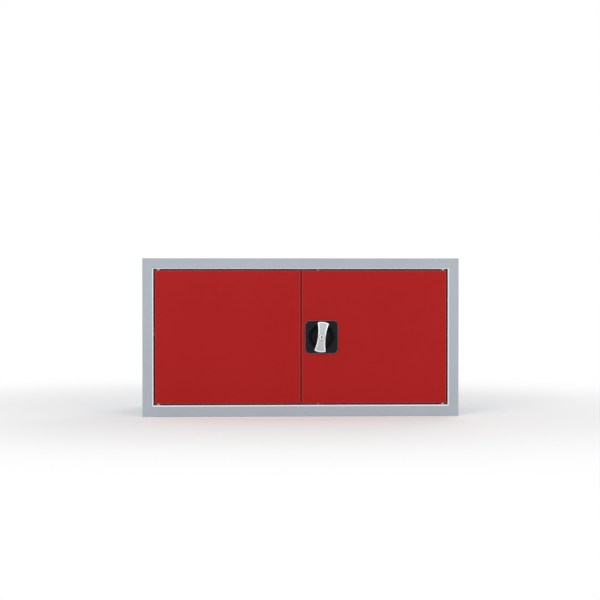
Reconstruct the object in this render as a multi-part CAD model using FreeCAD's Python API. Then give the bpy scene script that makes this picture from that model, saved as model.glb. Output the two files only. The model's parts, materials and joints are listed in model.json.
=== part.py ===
import FreeCAD, Part
import math
import os

# A two-door steel cabinet that stands on top of a locker. Sizes are in millimetres. X runs along the
# width, Y from the front to the back and Z up. The origin is the middle of the footprint.

# Cabinet body
WIDTH = 1000.0
DEPTH = 420.0
HEIGHT = 500.0
SHEET = 1.0
BEND = 1.5  # inside radius of every fold
POST_FACE = 35.0
POST_DEPTH = 32.0
TOP_RAIL = 34.0
BOTTOM_RAIL = 37.0
STOP_LIP = 14.0
LIP_RETURN = 12.0
FLOOR_STEP = 12.0
WELD_FLANGE = 15.0
REAR_FLANGE = 20.0
WALL_FLANGE = 10.0
BASE_FLANGE = 30.0
BOLT_SIDE_INSET = 70.0
BOLT_END_INSET = 20.0
BOLT_HOLE_R = 4.5
BOLT_ACCESS_R = 12.0
ANCHOR_SIDE_INSET = 150.0
ANCHOR_DROP = 45.0
ANCHOR_HOLE_R = 4.5

# Doors
DOOR_DEPTH = 25.0
DOOR_FLANGE = 15.0
DOOR_GAP = 4.0  # above and below each door
CENTRE_GAP = 3.0
PIVOT_INSET = 11.0  # from the door's outer edge
PIVOT_DEPTH = 8.0  # behind the door's face
STIFFENER_CROWN = 40.0
STIFFENER_FOOT = 12.0
STIFFENER_DEPTH = 18.0
STIFFENER_END = 20.0
STOP_STRIP_WIDTH = 13.0
STOP_STRIP_END = 20.0

# Hinges
PIN_R = 3.5
PIN_HEAD_R = 6.0
PIN_HEAD = 4.0
PIN_REACH = 5.0  # into the bush, past the rail face
BUSH_R = 4.75
BUSH_FLANGE_R = 5.75
BUSH_BODY = 7.0
BRACKET = 3.0
BRACKET_LENGTH = 36.0
BRACKET_LEG = 26.0

# Shelf and its supports
STRIP_WIDTH = 22.0
STRIP_DEPTH = 9.0
STRIP_FRONT_INSET = 70.0  # from the cabinet's face to the middle of the upright
STRIP_REAR_INSET = 60.0
STRIP_END = 16.0  # below the roof
SLOT_PITCH = 25.0
SLOT_WIDTH = 4.0
SLOT_HEIGHT = 12.0
SHELF_ROW = 8
SHELF_FRONT = 45.0  # behind the cabinet face
SHELF_BACK = 12.0  # in front of the cabinet's back
SHELF_EDGE = 25.0
SHELF_LIP = 12.0
CLIP = 2.0
CLIP_WIDTH = 14.0
CLIP_TONGUE = 15.0
CLIP_DROP = 10.0
CLIP_RISE = 8.0
HOOK_HALF = 4.0
HOOK_DROP = 9.0
BUFFER_R = 3.5
BUFFER_INSET = 40.5  # from the door's free edge

# Lock plate and handle
LOCK_INSET = 63.0  # from the right door's free edge
PLATE = 105.0
PLATE_CORNER = 16.0
PLATE_PROUD = 4.0
PLATE_EDGE = 2.0
DISH_R = 41.5
DISH_FLOOR_R = 30.0
DISH_DEPTH = 12.0
DISH_FILLET = 5.0
DISH_WALL = 2.0
PLATE_SCREW = 42.0  # from the axis, both ways
SCREW_R = 1.6
SCREW_HEAD_R = 4.0
SCREW_HEAD = 2.2
RING_IN_R = 12.0
RING_OUT_R = 18.0
RING_HEIGHT = 6.0
HANDLE_TILT = 6.7  # degrees, top leaning right
HANDLE_R = 48.0
HANDLE_END = 18.0
HANDLE_WAIST = 12.0
HANDLE_LIFT = 5.0
HANDLE_THICK = 9.0
HANDLE_CORNER = 2.5
HANDLE_EDGE = 1.5
HANDLE_RIM = 5.0
HANDLE_POCKET = 1.5
HANDLE_BOSS_R = 11.0
HUB_R = 11.5
JOURNAL_R = 7.0
GROOVE_R = 6.0
RETAINER_R = 9.5
RETAINER = 0.8
RETAINER_MOUTH = 9.0
DRIVE_SQUARE = 5.0
BARREL_R = 8.5
BARREL_FLANGE_R = 9.5
BARREL_PROUD = 1.0
PLUG_R = 7.0
PLUG_PROUD = 0.4
KEYWAY_WIDTH = 2.2
KEYWAY_HEIGHT = 9.0
KEYWAY_DEPTH = 14.0
BOLT_TRAVEL = 4.0
BOLT_WIDTH = 11.0
BOLT_THICK = 3.0
BOLT_TAIL = 5.0
CAM_PIN_R = 1.2

# Lock case, pinion and rods
CASE_STANDOFF = 1.5
CASE_SHEET = 1.5
CASE_EAR = 10.0
CASE_SCREW_UP = 15.0
CASE_SCREW_DOWN = 33.0
CASE_POST_R = 3.5
MODULE = 1.25
TEETH = 12
PRESSURE_ANGLE = 25.0
ADDENDUM = 0.8  # in modules
DEDENDUM = 1.1
BACKLASH = 0.3
RACK_THICK = 6.0
RACK_BACK = 4.8
RACK_TEETH = 7
RACK_END = 1.0
ARM_GAP = 2.5
ARM_HEIGHT = 6.0
PINION_BOSS_R = 4.6
ROD_R = 3.0
ROD_BUSH_R = 4.5
ROD_BUSH_FLANGE_R = 6.0
ROD_BUSH_FLANGE = 1.5
ROD_SHORT = 1.0  # rod tips stop this far from the rail when drawn in
ROD_HOLE_R = 4.0
KEEPER = 2.0
KEEPER_LENGTH = 40.0
KEEPER_WIDTH = 22.0

# Clearances
RUNNING = 0.06  # radial, shaft in bore
SLIP = 0.3  # between sliding faces
FIXED = 0.05  # around pieces that do not move on each other
WELD_GAP = 0.1
SWING = 0.8  # behind the doors' turning corners
SIDE_SWING = 1.4  # beside the doors' turning corners
STOP_CLEAR = 1.2
SHELF_CLEAR = 1.0
TINY = 0.001

HALF = SHEET / 2
FRONT = -DEPTH / 2
BACK = DEPTH / 2
OUTSIDE = WIDTH / 2
WALL = OUTSIDE - SHEET
OPENING = OUTSIDE - POST_FACE
RAIL_TOP = HEIGHT - TOP_RAIL
OPENING_MIDDLE = (RAIL_TOP + BOTTOM_RAIL) / 2
BOLT_X = OUTSIDE - BOLT_SIDE_INSET
BOLT_Y = BACK - BOLT_END_INSET
ANCHOR_X = OUTSIDE - ANCHOR_SIDE_INSET
FLOOR = BOTTOM_RAIL + FLOOR_STEP
POST_BACK = FRONT + POST_DEPTH
TAB_END = POST_BACK + WELD_FLANGE + SHEET + BEND
REAR_FACE = BACK - 2 * SHEET
CORNER_BACK = BACK - SHEET - max(SHEET, BEND)
FOLD_R = SHEET + BEND

SIDE_GAP = math.hypot(PIVOT_INSET, PIVOT_DEPTH) - PIVOT_INSET + SIDE_SWING
DOOR_OUTER = OPENING - SIDE_GAP
DOOR_INNER = CENTRE_GAP / 2
DOOR_BOTTOM = BOTTOM_RAIL + DOOR_GAP
DOOR_TOP = RAIL_TOP - DOOR_GAP
DOOR_MIDDLE = (DOOR_OUTER + DOOR_INNER) / 2
DOOR_BACK = FRONT + DOOR_DEPTH
PIVOT_X = DOOR_OUTER - PIVOT_INSET
PIVOT_Y = FRONT + PIVOT_DEPTH
STOP = PIVOT_Y + math.hypot(PIVOT_INSET, DOOR_DEPTH - PIVOT_DEPTH) + SWING

STRIP_FACE = WALL - STRIP_DEPTH
STRIP_LOW = FLOOR
STRIP_HIGH = HEIGHT - STRIP_END
SLOT_ROWS = int((STRIP_HIGH - STRIP_LOW) / SLOT_PITCH)
SHELF_SLOT = STRIP_LOW + (SHELF_ROW + 0.5) * SLOT_PITCH
SHELF_UNDER = SHELF_SLOT - CLIP_DROP + CLIP
SHELF_HALF = STRIP_FACE - CLIP - SHELF_CLEAR

LOCK_X = DOOR_INNER + LOCK_INSET
LOCK_Z = OPENING_MIDDLE
PLATE_FACE = FRONT - PLATE_PROUD
DISH_FLOOR = PLATE_FACE + DISH_DEPTH
DISH_BACK = DISH_FLOOR + DISH_WALL
HANDLE_BACK = PLATE_FACE - HANDLE_LIFT
HANDLE_FACE = HANDLE_BACK - HANDLE_THICK
HUB_BACK = DISH_FLOOR - SLIP
RING_FACE = DISH_FLOOR - RING_HEIGHT
BOLT_FACE = RING_FACE + SLIP
BOLT_REAR = BOLT_FACE + BOLT_THICK
BARREL_END = BOLT_FACE - SLIP - SHEET
CAM_RADIUS = BOLT_TRAVEL / math.sqrt(2)
BOLT_TIP = HUB_R - SLIP
RETAINER_FACE = DISH_BACK + SLIP
JOURNAL_END = RETAINER_FACE + RETAINER + FIXED

CASE_FACE = DISH_BACK + CASE_STANDOFF
CASE_FLOOR = CASE_FACE + CASE_SHEET
RACK_FACE = CASE_FLOOR + SLIP
RACK_REAR = RACK_FACE + RACK_THICK
ROD_Y = RACK_FACE + RACK_THICK / 2
CASE_ROOF = RACK_REAR + SLIP
CASE_BACK = CASE_ROOF + CASE_SHEET
PITCH_R = MODULE * TEETH / 2
PITCH = math.pi * MODULE
TRAVEL = PITCH_R * math.pi / 2
RACK_ROOT = PITCH_R + DEDENDUM * MODULE
RACK_OUTER = RACK_ROOT + RACK_BACK
ROD_OFFSET = RACK_OUTER - ROD_R - SLIP
RACK_SHORT = 2 * PITCH + RACK_END
RACK_LONG = (RACK_TEETH - 2) * PITCH + RACK_END
ARM_TOP = RACK_LONG + ARM_GAP
ARM_LOW = ARM_TOP + ARM_HEIGHT
CASE_HALF = RACK_OUTER + SLIP
CASE_UP = RACK_LONG + SHEET
CASE_DOWN = ARM_LOW + TRAVEL + SHEET
ROD_TIP = RAIL_TOP - ROD_SHORT


def point(x, y, z):
    """Return the vector of a place."""
    return FreeCAD.Vector(x, y, z)


def block(x0, x1, y0, y1, z0, z1):
    """Return the box between two corners."""
    return Part.makeBox(x1 - x0, y1 - y0, z1 - z0, point(x0, y0, z0))


def bar(radius, start, end):
    """Return the round bar between two places."""
    return Part.makeCylinder(radius, start.distanceToPoint(end), start, end - start)


def post_y(radius, x, z, y0, y1):
    """Return a round bar that runs from the front towards the back."""
    return bar(radius, point(x, y0, z), point(x, y1, z))


def post_z(radius, x, y, z0, z1):
    """Return an upright round bar."""
    return bar(radius, point(x, y, z0), point(x, y, z1))


def joined(shapes):
    """Return several shapes as one solid without leftover seams."""
    return shapes[0].multiFuse(shapes[1:]).removeSplitter()


def on_right(shape, side):
    """Return the shape, mirrored to the left when side is negative."""
    if side > 0:
        return shape
    return shape.mirror(point(0, 0, 0), point(1, 0, 0))


def at_end(shape, end):
    """Return the shape, mirrored to the opening's lower end when end is negative."""
    if end > 0:
        return shape
    return shape.mirror(point(0, 0, OPENING_MIDDLE), point(0, 0, 1))


def in_plan(u, v):
    """Place a plan outline on the base plane."""
    return point(u, v, 0)


def in_section(u, v):
    """Place a side-view outline on the middle plane."""
    return point(0, u, v)


def in_front(u, v):
    """Place a front-view outline on the middle plane."""
    return point(u, 0, v)


def sheet_side(path, side, place):
    """Return the edges of one face of a bent sheet, side being +1 on the left of the path."""
    middle = BEND + HALF
    edges = []
    first = path[1] - path[0]
    first.normalize()
    start = path[0] + FreeCAD.Vector(-first.y, first.x, 0) * (side * HALF)
    for index in range(1, len(path) - 1):
        before = path[index] - path[index - 1]
        after = path[index + 1] - path[index]
        before.normalize()
        after.normalize()
        turn = 1 if before.cross(after).z > 0 else -1
        tangent = middle * math.tan(before.getAngle(after) / 2)
        left_before = FreeCAD.Vector(-before.y, before.x, 0)
        left_after = FreeCAD.Vector(-after.y, after.x, 0)
        centre = path[index] - before * tangent + left_before * (turn * middle)
        radius = middle - side * turn * HALF
        arc_start = centre - left_before * (turn * radius)
        arc_end = centre - left_after * (turn * radius)
        outward = path[index] - centre
        outward.normalize()
        arc_middle = centre + outward * radius
        edges.append(Part.makeLine(place(start.x, start.y), place(arc_start.x, arc_start.y)))
        arc = Part.Arc(place(arc_start.x, arc_start.y), place(arc_middle.x, arc_middle.y),
                       place(arc_end.x, arc_end.y))
        edges.append(arc.toShape())
        start = arc_end
    last = path[-1] - path[-2]
    last.normalize()
    end = path[-1] + FreeCAD.Vector(-last.y, last.x, 0) * (side * HALF)
    edges.append(Part.makeLine(place(start.x, start.y), place(end.x, end.y)))
    return edges


def folded_sheet(corners, place, start, sweep):
    """Return a bent sheet whose middle line runs through the corners, swept from start."""
    path = [FreeCAD.Vector(u, v, 0) for u, v in corners]
    left = sheet_side(path, 1, place)
    right = sheet_side(path, -1, place)
    ends = [Part.makeLine(left[0].Vertexes[0].Point, right[0].Vertexes[0].Point),
            Part.makeLine(left[-1].Vertexes[1].Point, right[-1].Vertexes[1].Point)]
    outline = Part.Wire(Part.__sortEdges__(left + right + ends))
    solid = Part.Face(outline).extrude(sweep)
    solid.translate(start)
    return solid


def pan(width, height, depth, flange):
    """Return a folded pan, its face on the base plane and its turned-in flange at the far side."""
    outer = Part.makeBox(width, height, depth)
    face_edges = [edge for edge in outer.Edges if edge.BoundBox.ZMax < TINY]
    corner_edges = [edge for edge in outer.Edges if edge.BoundBox.ZLength > depth / 2]
    outer = outer.makeFillet(FOLD_R, face_edges + corner_edges)
    inner = Part.makeBox(width - 2 * SHEET, height - 2 * SHEET, depth - 2 * SHEET, point(SHEET, SHEET, SHEET))
    inner_edges = [edge for edge in inner.Edges if edge.BoundBox.ZMax < SHEET + TINY]
    inner = inner.makeFillet(BEND, inner_edges)
    mouth = Part.makeBox(width - 2 * flange, height - 2 * flange, depth, point(flange, flange, depth / 2))
    return outer.cut(inner).cut(mouth)


def side_panel():
    """Return the right side wall, folded on into the front post, the rear flange and the roof ledge."""
    corners = [(WALL - WELD_GAP - HALF, POST_BACK + WELD_FLANGE),
               (WALL - WELD_GAP - HALF, POST_BACK - HALF),
               (OPENING + HALF, POST_BACK - HALF),
               (OPENING + HALF, FRONT + HALF),
               (OUTSIDE - HALF, FRONT + HALF),
               (OUTSIDE - HALF, BACK - HALF),
               (OUTSIDE - REAR_FLANGE, BACK - HALF)]
    panel = folded_sheet(corners, in_plan, point(0, 0, 0), point(0, 0, HEIGHT - SHEET))
    run = CORNER_BACK - TAB_END
    fold_low = HEIGHT - SHEET - FOLD_R
    fold_room = block(WALL, OUTSIDE + SHEET, TAB_END, CORNER_BACK, fold_low, HEIGHT)
    ledge = [(OUTSIDE - HALF, fold_low - SHEET), (OUTSIDE - HALF, HEIGHT - SHEET - HALF),
             (OUTSIDE - WALL_FLANGE, HEIGHT - SHEET - HALF)]
    flange = folded_sheet(ledge, in_front, point(0, TAB_END, 0), point(0, run, 0))
    return joined([panel.cut(fold_room), flange])


def rail_holes(z0, z1):
    """Return the cutters for the hinge bushes and the lock rod in a rail."""
    return [post_z(BUSH_R + FIXED, PIVOT_X, PIVOT_Y, z0, z1),
            post_z(BUSH_R + FIXED, -PIVOT_X, PIVOT_Y, z0, z1),
            post_z(ROD_HOLE_R, LOCK_X - ROD_OFFSET, ROD_Y, z0, z1)]


def corner_weld(low, high):
    """Return the weld that fills the groove between a rail and the right post's fold, dressed flush."""
    groove = block(OPENING, OPENING + FOLD_R, FRONT, FRONT + FOLD_R, low, high)
    return groove.cut(post_z(FOLD_R + FIXED, OPENING + FOLD_R, FRONT + FOLD_R, low, high))


def top_panel():
    """Return the roof, folded into the upper front rail and the door stop."""
    rail = [(STOP + LIP_RETURN, RAIL_TOP - STOP_LIP + HALF),
            (STOP + HALF, RAIL_TOP - STOP_LIP + HALF),
            (STOP + HALF, RAIL_TOP + HALF),
            (FRONT + HALF, RAIL_TOP + HALF),
            (FRONT + HALF, HEIGHT - HALF),
            (TAB_END, HEIGHT - HALF)]
    under = HEIGHT - SHEET
    pieces = [folded_sheet(rail, in_section, point(-OPENING, 0, 0), point(2 * OPENING, 0, 0)),
              block(-OUTSIDE, OUTSIDE, FRONT + FOLD_R, BACK, under, HEIGHT)]
    tab = block(OPENING, OUTSIDE - FOLD_R, FRONT, FRONT + 2 * FOLD_R, under, HEIGHT)
    tab_corner = post_z(FOLD_R, OUTSIDE - FOLD_R, FRONT + FOLD_R, under, HEIGHT)
    weld = corner_weld(RAIL_TOP + FOLD_R, under)
    for side in (-1, 1):
        for piece in (tab, tab_corner, weld):
            pieces.append(on_right(piece, side))
    return joined(pieces).cut(rail_holes(RAIL_TOP - SHEET, RAIL_TOP + 2 * SHEET))


def bottom_panel():
    """Return the floor, folded into the lower front rail, the door stop and the base flanges."""
    section = [(FRONT + BASE_FLANGE, HALF),
               (FRONT + HALF, HALF),
               (FRONT + HALF, BOTTOM_RAIL - HALF),
               (STOP + HALF, BOTTOM_RAIL - HALF),
               (STOP + HALF, FLOOR - HALF),
               (REAR_FACE - HALF, FLOOR - HALF),
               (REAR_FACE - HALF, HALF),
               (REAR_FACE - BASE_FLANGE, HALF)]
    pieces = [folded_sheet(section, in_section, point(-OPENING, 0, 0), point(2 * OPENING, 0, 0))]
    floor_edge = block(OPENING - FOLD_R, WALL, TAB_END, CORNER_BACK, FLOOR - SHEET, FLOOR)
    floor_corner_x = WALL - SHEET - WELD_GAP - FOLD_R
    floor_corner = block(OPENING - FOLD_R, floor_corner_x, POST_BACK, TAB_END + FOLD_R, FLOOR - SHEET, FLOOR)
    weld = corner_weld(FOLD_R, BOTTOM_RAIL - FOLD_R)
    for side in (-1, 1):
        for piece in (floor_edge, floor_corner, weld):
            pieces.append(on_right(piece, side))
    holes = rail_holes(BOTTOM_RAIL - 2 * SHEET, BOTTOM_RAIL + SHEET)
    for x in (-BOLT_X, BOLT_X):
        for y in (-BOLT_Y, BOLT_Y):
            holes.append(post_z(BOLT_HOLE_R, x, y, -SHEET, 2 * SHEET))
        holes.append(post_z(BOLT_ACCESS_R, x, BOLT_Y, FLOOR - 2 * SHEET, FLOOR + SHEET))
    return joined(pieces).cut(holes)


def back_panel():
    """Return the flat back sheet with its two holes for wall anchors."""
    half = WALL - BEND
    panel = block(-half, half, REAR_FACE, BACK - SHEET, 0, HEIGHT - SHEET)
    anchor_z = HEIGHT - ANCHOR_DROP
    holes = [post_y(ANCHOR_HOLE_R, x, anchor_z, REAR_FACE - SHEET, BACK) for x in (-ANCHOR_X, ANCHOR_X)]
    return panel.cut(holes)


def shelf_strip(middle):
    """Return one slotted upright on the right wall, its middle at the given depth."""
    near = middle - STRIP_WIDTH / 2 + HALF
    far = middle + STRIP_WIDTH / 2 - HALF
    corners = [(WALL, near), (STRIP_FACE + HALF, near), (STRIP_FACE + HALF, far), (WALL, far)]
    strip = folded_sheet(corners, in_plan, point(0, 0, STRIP_LOW), point(0, 0, STRIP_HIGH - STRIP_LOW))
    slots = []
    for row in range(SLOT_ROWS):
        z = STRIP_LOW + (row + 0.5) * SLOT_PITCH
        slots.append(block(STRIP_FACE - SHEET, STRIP_FACE + 2 * SHEET, middle - SLOT_WIDTH / 2,
                           middle + SLOT_WIDTH / 2, z - SLOT_HEIGHT / 2, z + SLOT_HEIGHT / 2))
    return strip.cut(slots)


def shelf_clip(middle):
    """Return one clip that hooks into an upright and carries the shelf on its tongue."""
    low = SHELF_SLOT - CLIP_DROP
    half = CLIP_WIDTH / 2
    hook_half = SLOT_WIDTH / 2 - SLIP
    hook_face = STRIP_FACE + SHEET + SLIP
    plate = block(STRIP_FACE - CLIP, STRIP_FACE, middle - half, middle + half, low, SHELF_SLOT + CLIP_RISE)
    tongue = block(STRIP_FACE - CLIP_TONGUE, STRIP_FACE, middle - half, middle + half, low, low + CLIP)
    neck = block(STRIP_FACE - CLIP, hook_face + CLIP, middle - hook_half, middle + hook_half,
                 SHELF_SLOT - HOOK_HALF, SHELF_SLOT + HOOK_HALF)
    hook = block(hook_face, hook_face + CLIP, middle - hook_half, middle + hook_half,
                 SHELF_SLOT - HOOK_DROP, SHELF_SLOT + HOOK_HALF)
    return joined([plate, tongue, neck, hook])


def shelf():
    """Return the shelf, a pan with its face up."""
    near = FRONT + SHELF_FRONT
    far = BACK - SHELF_BACK
    tray = pan(2 * SHELF_HALF, far - near, SHELF_EDGE, SHELF_LIP)
    tray.Placement = FreeCAD.Placement(point(-SHELF_HALF, far, SHELF_UNDER + SHELF_EDGE),
                                       FreeCAD.Rotation(point(1, 0, 0), 180))
    return tray


def hinge_bush(end):
    """Return one bush; the lower one's flange fills the gap and carries the door."""
    flange = DOOR_GAP if end < 0 else DOOR_GAP - SLIP
    bush = joined([post_z(BUSH_FLANGE_R, PIVOT_X, PIVOT_Y, RAIL_TOP - flange, RAIL_TOP),
                   post_z(BUSH_R, PIVOT_X, PIVOT_Y, RAIL_TOP - flange, RAIL_TOP + BUSH_BODY)])
    bore = post_z(PIN_R + RUNNING, PIVOT_X, PIVOT_Y, DOOR_TOP - SHEET, RAIL_TOP + 2 * BUSH_BODY)
    return at_end(bush.cut(bore), end)


def hinge_pin(end):
    """Return one headed pivot pin of the right door."""
    seat = DOOR_TOP - SHEET - BRACKET
    pin = joined([post_z(PIN_HEAD_R, PIVOT_X, PIVOT_Y, seat - PIN_HEAD, seat),
                  post_z(PIN_R, PIVOT_X, PIVOT_Y, seat - PIN_HEAD, RAIL_TOP + PIN_REACH)])
    return at_end(pin, end)


def pivot_bracket(end):
    """Return one angle that backs the pin in the corner of the right door."""
    edge = DOOR_OUTER - SHEET
    top = DOOR_TOP - SHEET
    near = FRONT + SHEET + BEND + FIXED
    far = DOOR_BACK - 3 * SHEET
    plate = block(edge - BRACKET_LENGTH, edge, near, far, top - BRACKET, top)
    leg = block(edge - BRACKET, edge, near, far, top - BRACKET_LEG, top)
    hole = post_z(PIN_R + FIXED, PIVOT_X, PIVOT_Y, top - 2 * BRACKET, top + SHEET)
    return at_end(joined([plate, leg]).cut(hole), end)


def door_panel(side):
    """Return one door pan; the right one is cut for the lock and its rods."""
    panel = pan(DOOR_OUTER - DOOR_INNER, DOOR_TOP - DOOR_BOTTOM, DOOR_DEPTH, DOOR_FLANGE)
    panel.Placement = FreeCAD.Placement(point(DOOR_INNER, FRONT, DOOR_TOP),
                                        FreeCAD.Rotation(point(1, 0, 0), -90))
    pin_hole = post_z(PIN_R + FIXED, PIVOT_X, PIVOT_Y, DOOR_TOP - 2 * SHEET, DOOR_TOP + SHEET)
    cutters = [at_end(pin_hole, end) for end in (-1, 1)]
    if side > 0:
        rod_x = LOCK_X - ROD_OFFSET
        rod_hole = post_z(ROD_BUSH_R + FIXED, rod_x, ROD_Y, DOOR_TOP - 2 * SHEET, DOOR_TOP + SHEET)
        cutters.extend(at_end(rod_hole, end) for end in (-1, 1))
        cutters.append(post_y(DISH_R + DISH_WALL, LOCK_X, LOCK_Z, FRONT - SHEET, FRONT + 2 * SHEET))
        for x, z in plate_screw_places():
            screw_hole = post_y(SCREW_R + SLIP, x, z, FRONT - SHEET, FRONT + 2 * SHEET)
            cutters.append(at_lock(screw_hole))
    return on_right(panel.cut(cutters), side)


def door_stiffener():
    """Return the hat section that stiffens the right door's face."""
    foot = FRONT + SHEET + HALF
    crown = FRONT + SHEET + STIFFENER_DEPTH - HALF
    half = STIFFENER_CROWN / 2
    corners = [(DOOR_MIDDLE - half - STIFFENER_FOOT, foot), (DOOR_MIDDLE - half, foot),
               (DOOR_MIDDLE - half, crown), (DOOR_MIDDLE + half, crown),
               (DOOR_MIDDLE + half, foot), (DOOR_MIDDLE + half + STIFFENER_FOOT, foot)]
    low = DOOR_BOTTOM + STIFFENER_END
    return folded_sheet(corners, in_plan, point(0, 0, low), point(0, 0, DOOR_TOP - STIFFENER_END - low))


def door_stop_strip():
    """Return the strip on the left door's free edge that closes the middle gap."""
    reach = CENTRE_GAP - STOP_CLEAR
    low = RAIL_TOP - STOP_LIP - STOP_STRIP_END
    return block(-DOOR_INNER - STOP_STRIP_WIDTH, -DOOR_INNER + reach, DOOR_BACK, DOOR_BACK + SHEET,
                 FLOOR + STOP_STRIP_END, low)


def door_buffer(end):
    """Return one rubber buffer on the stop behind the right door."""
    flat = max(FOLD_R, BEND)
    z = RAIL_TOP - BEND - BUFFER_R if end > 0 else FLOOR - flat - BUFFER_R
    return post_y(BUFFER_R, DOOR_INNER + BUFFER_INSET, z, DOOR_BACK + SLIP, STOP)


def rod_keeper(end):
    """Return one plate that backs the rail where a lock rod enters it."""
    x = LOCK_X - ROD_OFFSET
    low = RAIL_TOP + SHEET
    half = KEEPER_WIDTH / 2
    near = FRONT + FOLD_R + FIXED
    far = min(ROD_Y + half, STOP - BEND)
    plate = block(x - KEEPER_LENGTH / 2, x + KEEPER_LENGTH / 2, near, far, low, low + KEEPER)
    hole = post_z(ROD_R + SLIP, x, ROD_Y, low - SHEET, low + 2 * KEEPER)
    return at_end(plate.cut(hole), end)


def rod_bush(end):
    """Return one bush that guides a lock rod through the right door's edge."""
    x = LOCK_X - ROD_OFFSET
    under = DOOR_TOP - SHEET
    bush = joined([post_z(ROD_BUSH_R, x, ROD_Y, under - ROD_BUSH_FLANGE, DOOR_TOP),
                   post_z(ROD_BUSH_FLANGE_R, x, ROD_Y, under - ROD_BUSH_FLANGE, under)])
    bore = post_z(ROD_R + RUNNING, x, ROD_Y, under - 2 * ROD_BUSH_FLANGE, DOOR_TOP + SHEET)
    return at_end(bush.cut(bore), end)


def at_lock(shape):
    """Return a shape moved from the lock's own axis to its place in the door."""
    moved = shape.copy()
    moved.translate(point(LOCK_X, 0, LOCK_Z))
    return moved


def tilted(shape):
    """Return a handle piece turned to the handle's resting angle."""
    turned = shape.copy()
    turned.rotate(point(0, 0, 0), point(0, 1, 0), HANDLE_TILT)
    return turned


def case_screw_places():
    """Return the four places of the lock case screws about the lock axis."""
    x = CASE_HALF + CASE_SHEET + CASE_EAR / 2
    return [(side * x, z) for side in (-1, 1) for z in (CASE_SCREW_UP, -CASE_SCREW_DOWN)]


def plate_screw_places():
    """Return the four places of the lock plate screws about the lock axis."""
    return [(x, z) for x in (-PLATE_SCREW, PLATE_SCREW) for z in (-PLATE_SCREW, PLATE_SCREW)]


def lock_plate():
    """Return the moulded plate with its dish, ring and screw posts."""
    half = PLATE / 2
    plate = block(-half, half, PLATE_FACE, FRONT, -half, half)
    corner_edges = [edge for edge in plate.Edges if edge.BoundBox.YLength > PLATE_PROUD / 2]
    plate = plate.makeFillet(PLATE_CORNER, corner_edges)
    rim = [edge for edge in plate.Edges if edge.BoundBox.YMax < PLATE_FACE + TINY]
    plate = plate.makeFillet(PLATE_EDGE, rim)
    slope = (DISH_R - DISH_FLOOR_R) / DISH_DEPTH
    wall = DISH_WALL * math.hypot(1, slope)
    skin_r = DISH_R - slope * PLATE_PROUD + wall
    back_r = DISH_FLOOR_R - slope * DISH_WALL + wall
    bowl = Part.makeCone(skin_r, back_r, DISH_BACK - FRONT, point(0, FRONT, 0), point(0, 1, 0))
    posts = [post_y(CASE_POST_R, x, z, FRONT, CASE_FACE) for x, z in case_screw_places()]
    body = joined([plate, bowl] + posts)
    dish = Part.makeCone(DISH_R, DISH_FLOOR_R, DISH_DEPTH, point(0, PLATE_FACE, 0), point(0, 1, 0))
    floor_edge = [edge for edge in dish.Edges if edge.BoundBox.YMin > DISH_FLOOR - TINY]
    dish = dish.makeFillet(DISH_FILLET, floor_edge)
    body = body.cut(dish)
    ring = post_y(RING_OUT_R, 0, 0, RING_FACE, DISH_FLOOR + TINY).cut(
        post_y(RING_IN_R, 0, 0, RING_FACE - SHEET, DISH_BACK))
    notch = block(-BOLT_WIDTH / 2 - SLIP, BOLT_WIDTH / 2 + SLIP, RING_FACE - SHEET, DISH_FLOOR + TINY,
                  -RING_OUT_R - SHEET, 0)
    quarter = notch.copy()
    quarter.rotate(point(0, 0, 0), point(0, 1, 0), 90)
    ring = ring.cut([tilted(notch), tilted(quarter)])
    holes = [post_y(JOURNAL_R + RUNNING, 0, 0, RING_FACE, CASE_FACE)]
    for x, z in plate_screw_places():
        holes.append(post_y(SCREW_R + FIXED, x, z, PLATE_FACE + SCREW_R, FRONT + SHEET))
    for x, z in case_screw_places():
        holes.append(post_y(SCREW_R + FIXED, x, z, DISH_FLOOR + DISH_WALL / 2, CASE_FACE + SHEET))
    return at_lock(joined([body, ring]).cut(holes))


def screws(places, seat, point_y):
    """Return a group of headed screws driven from the back, as one compound."""
    group = []
    for x, z in places:
        head = post_y(SCREW_HEAD_R, x, z, seat, seat + SCREW_HEAD)
        shank = post_y(SCREW_R, x, z, point_y, seat + SCREW_HEAD)
        group.append(joined([head, shank]))
    return at_lock(Part.makeCompound(group))


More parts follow.
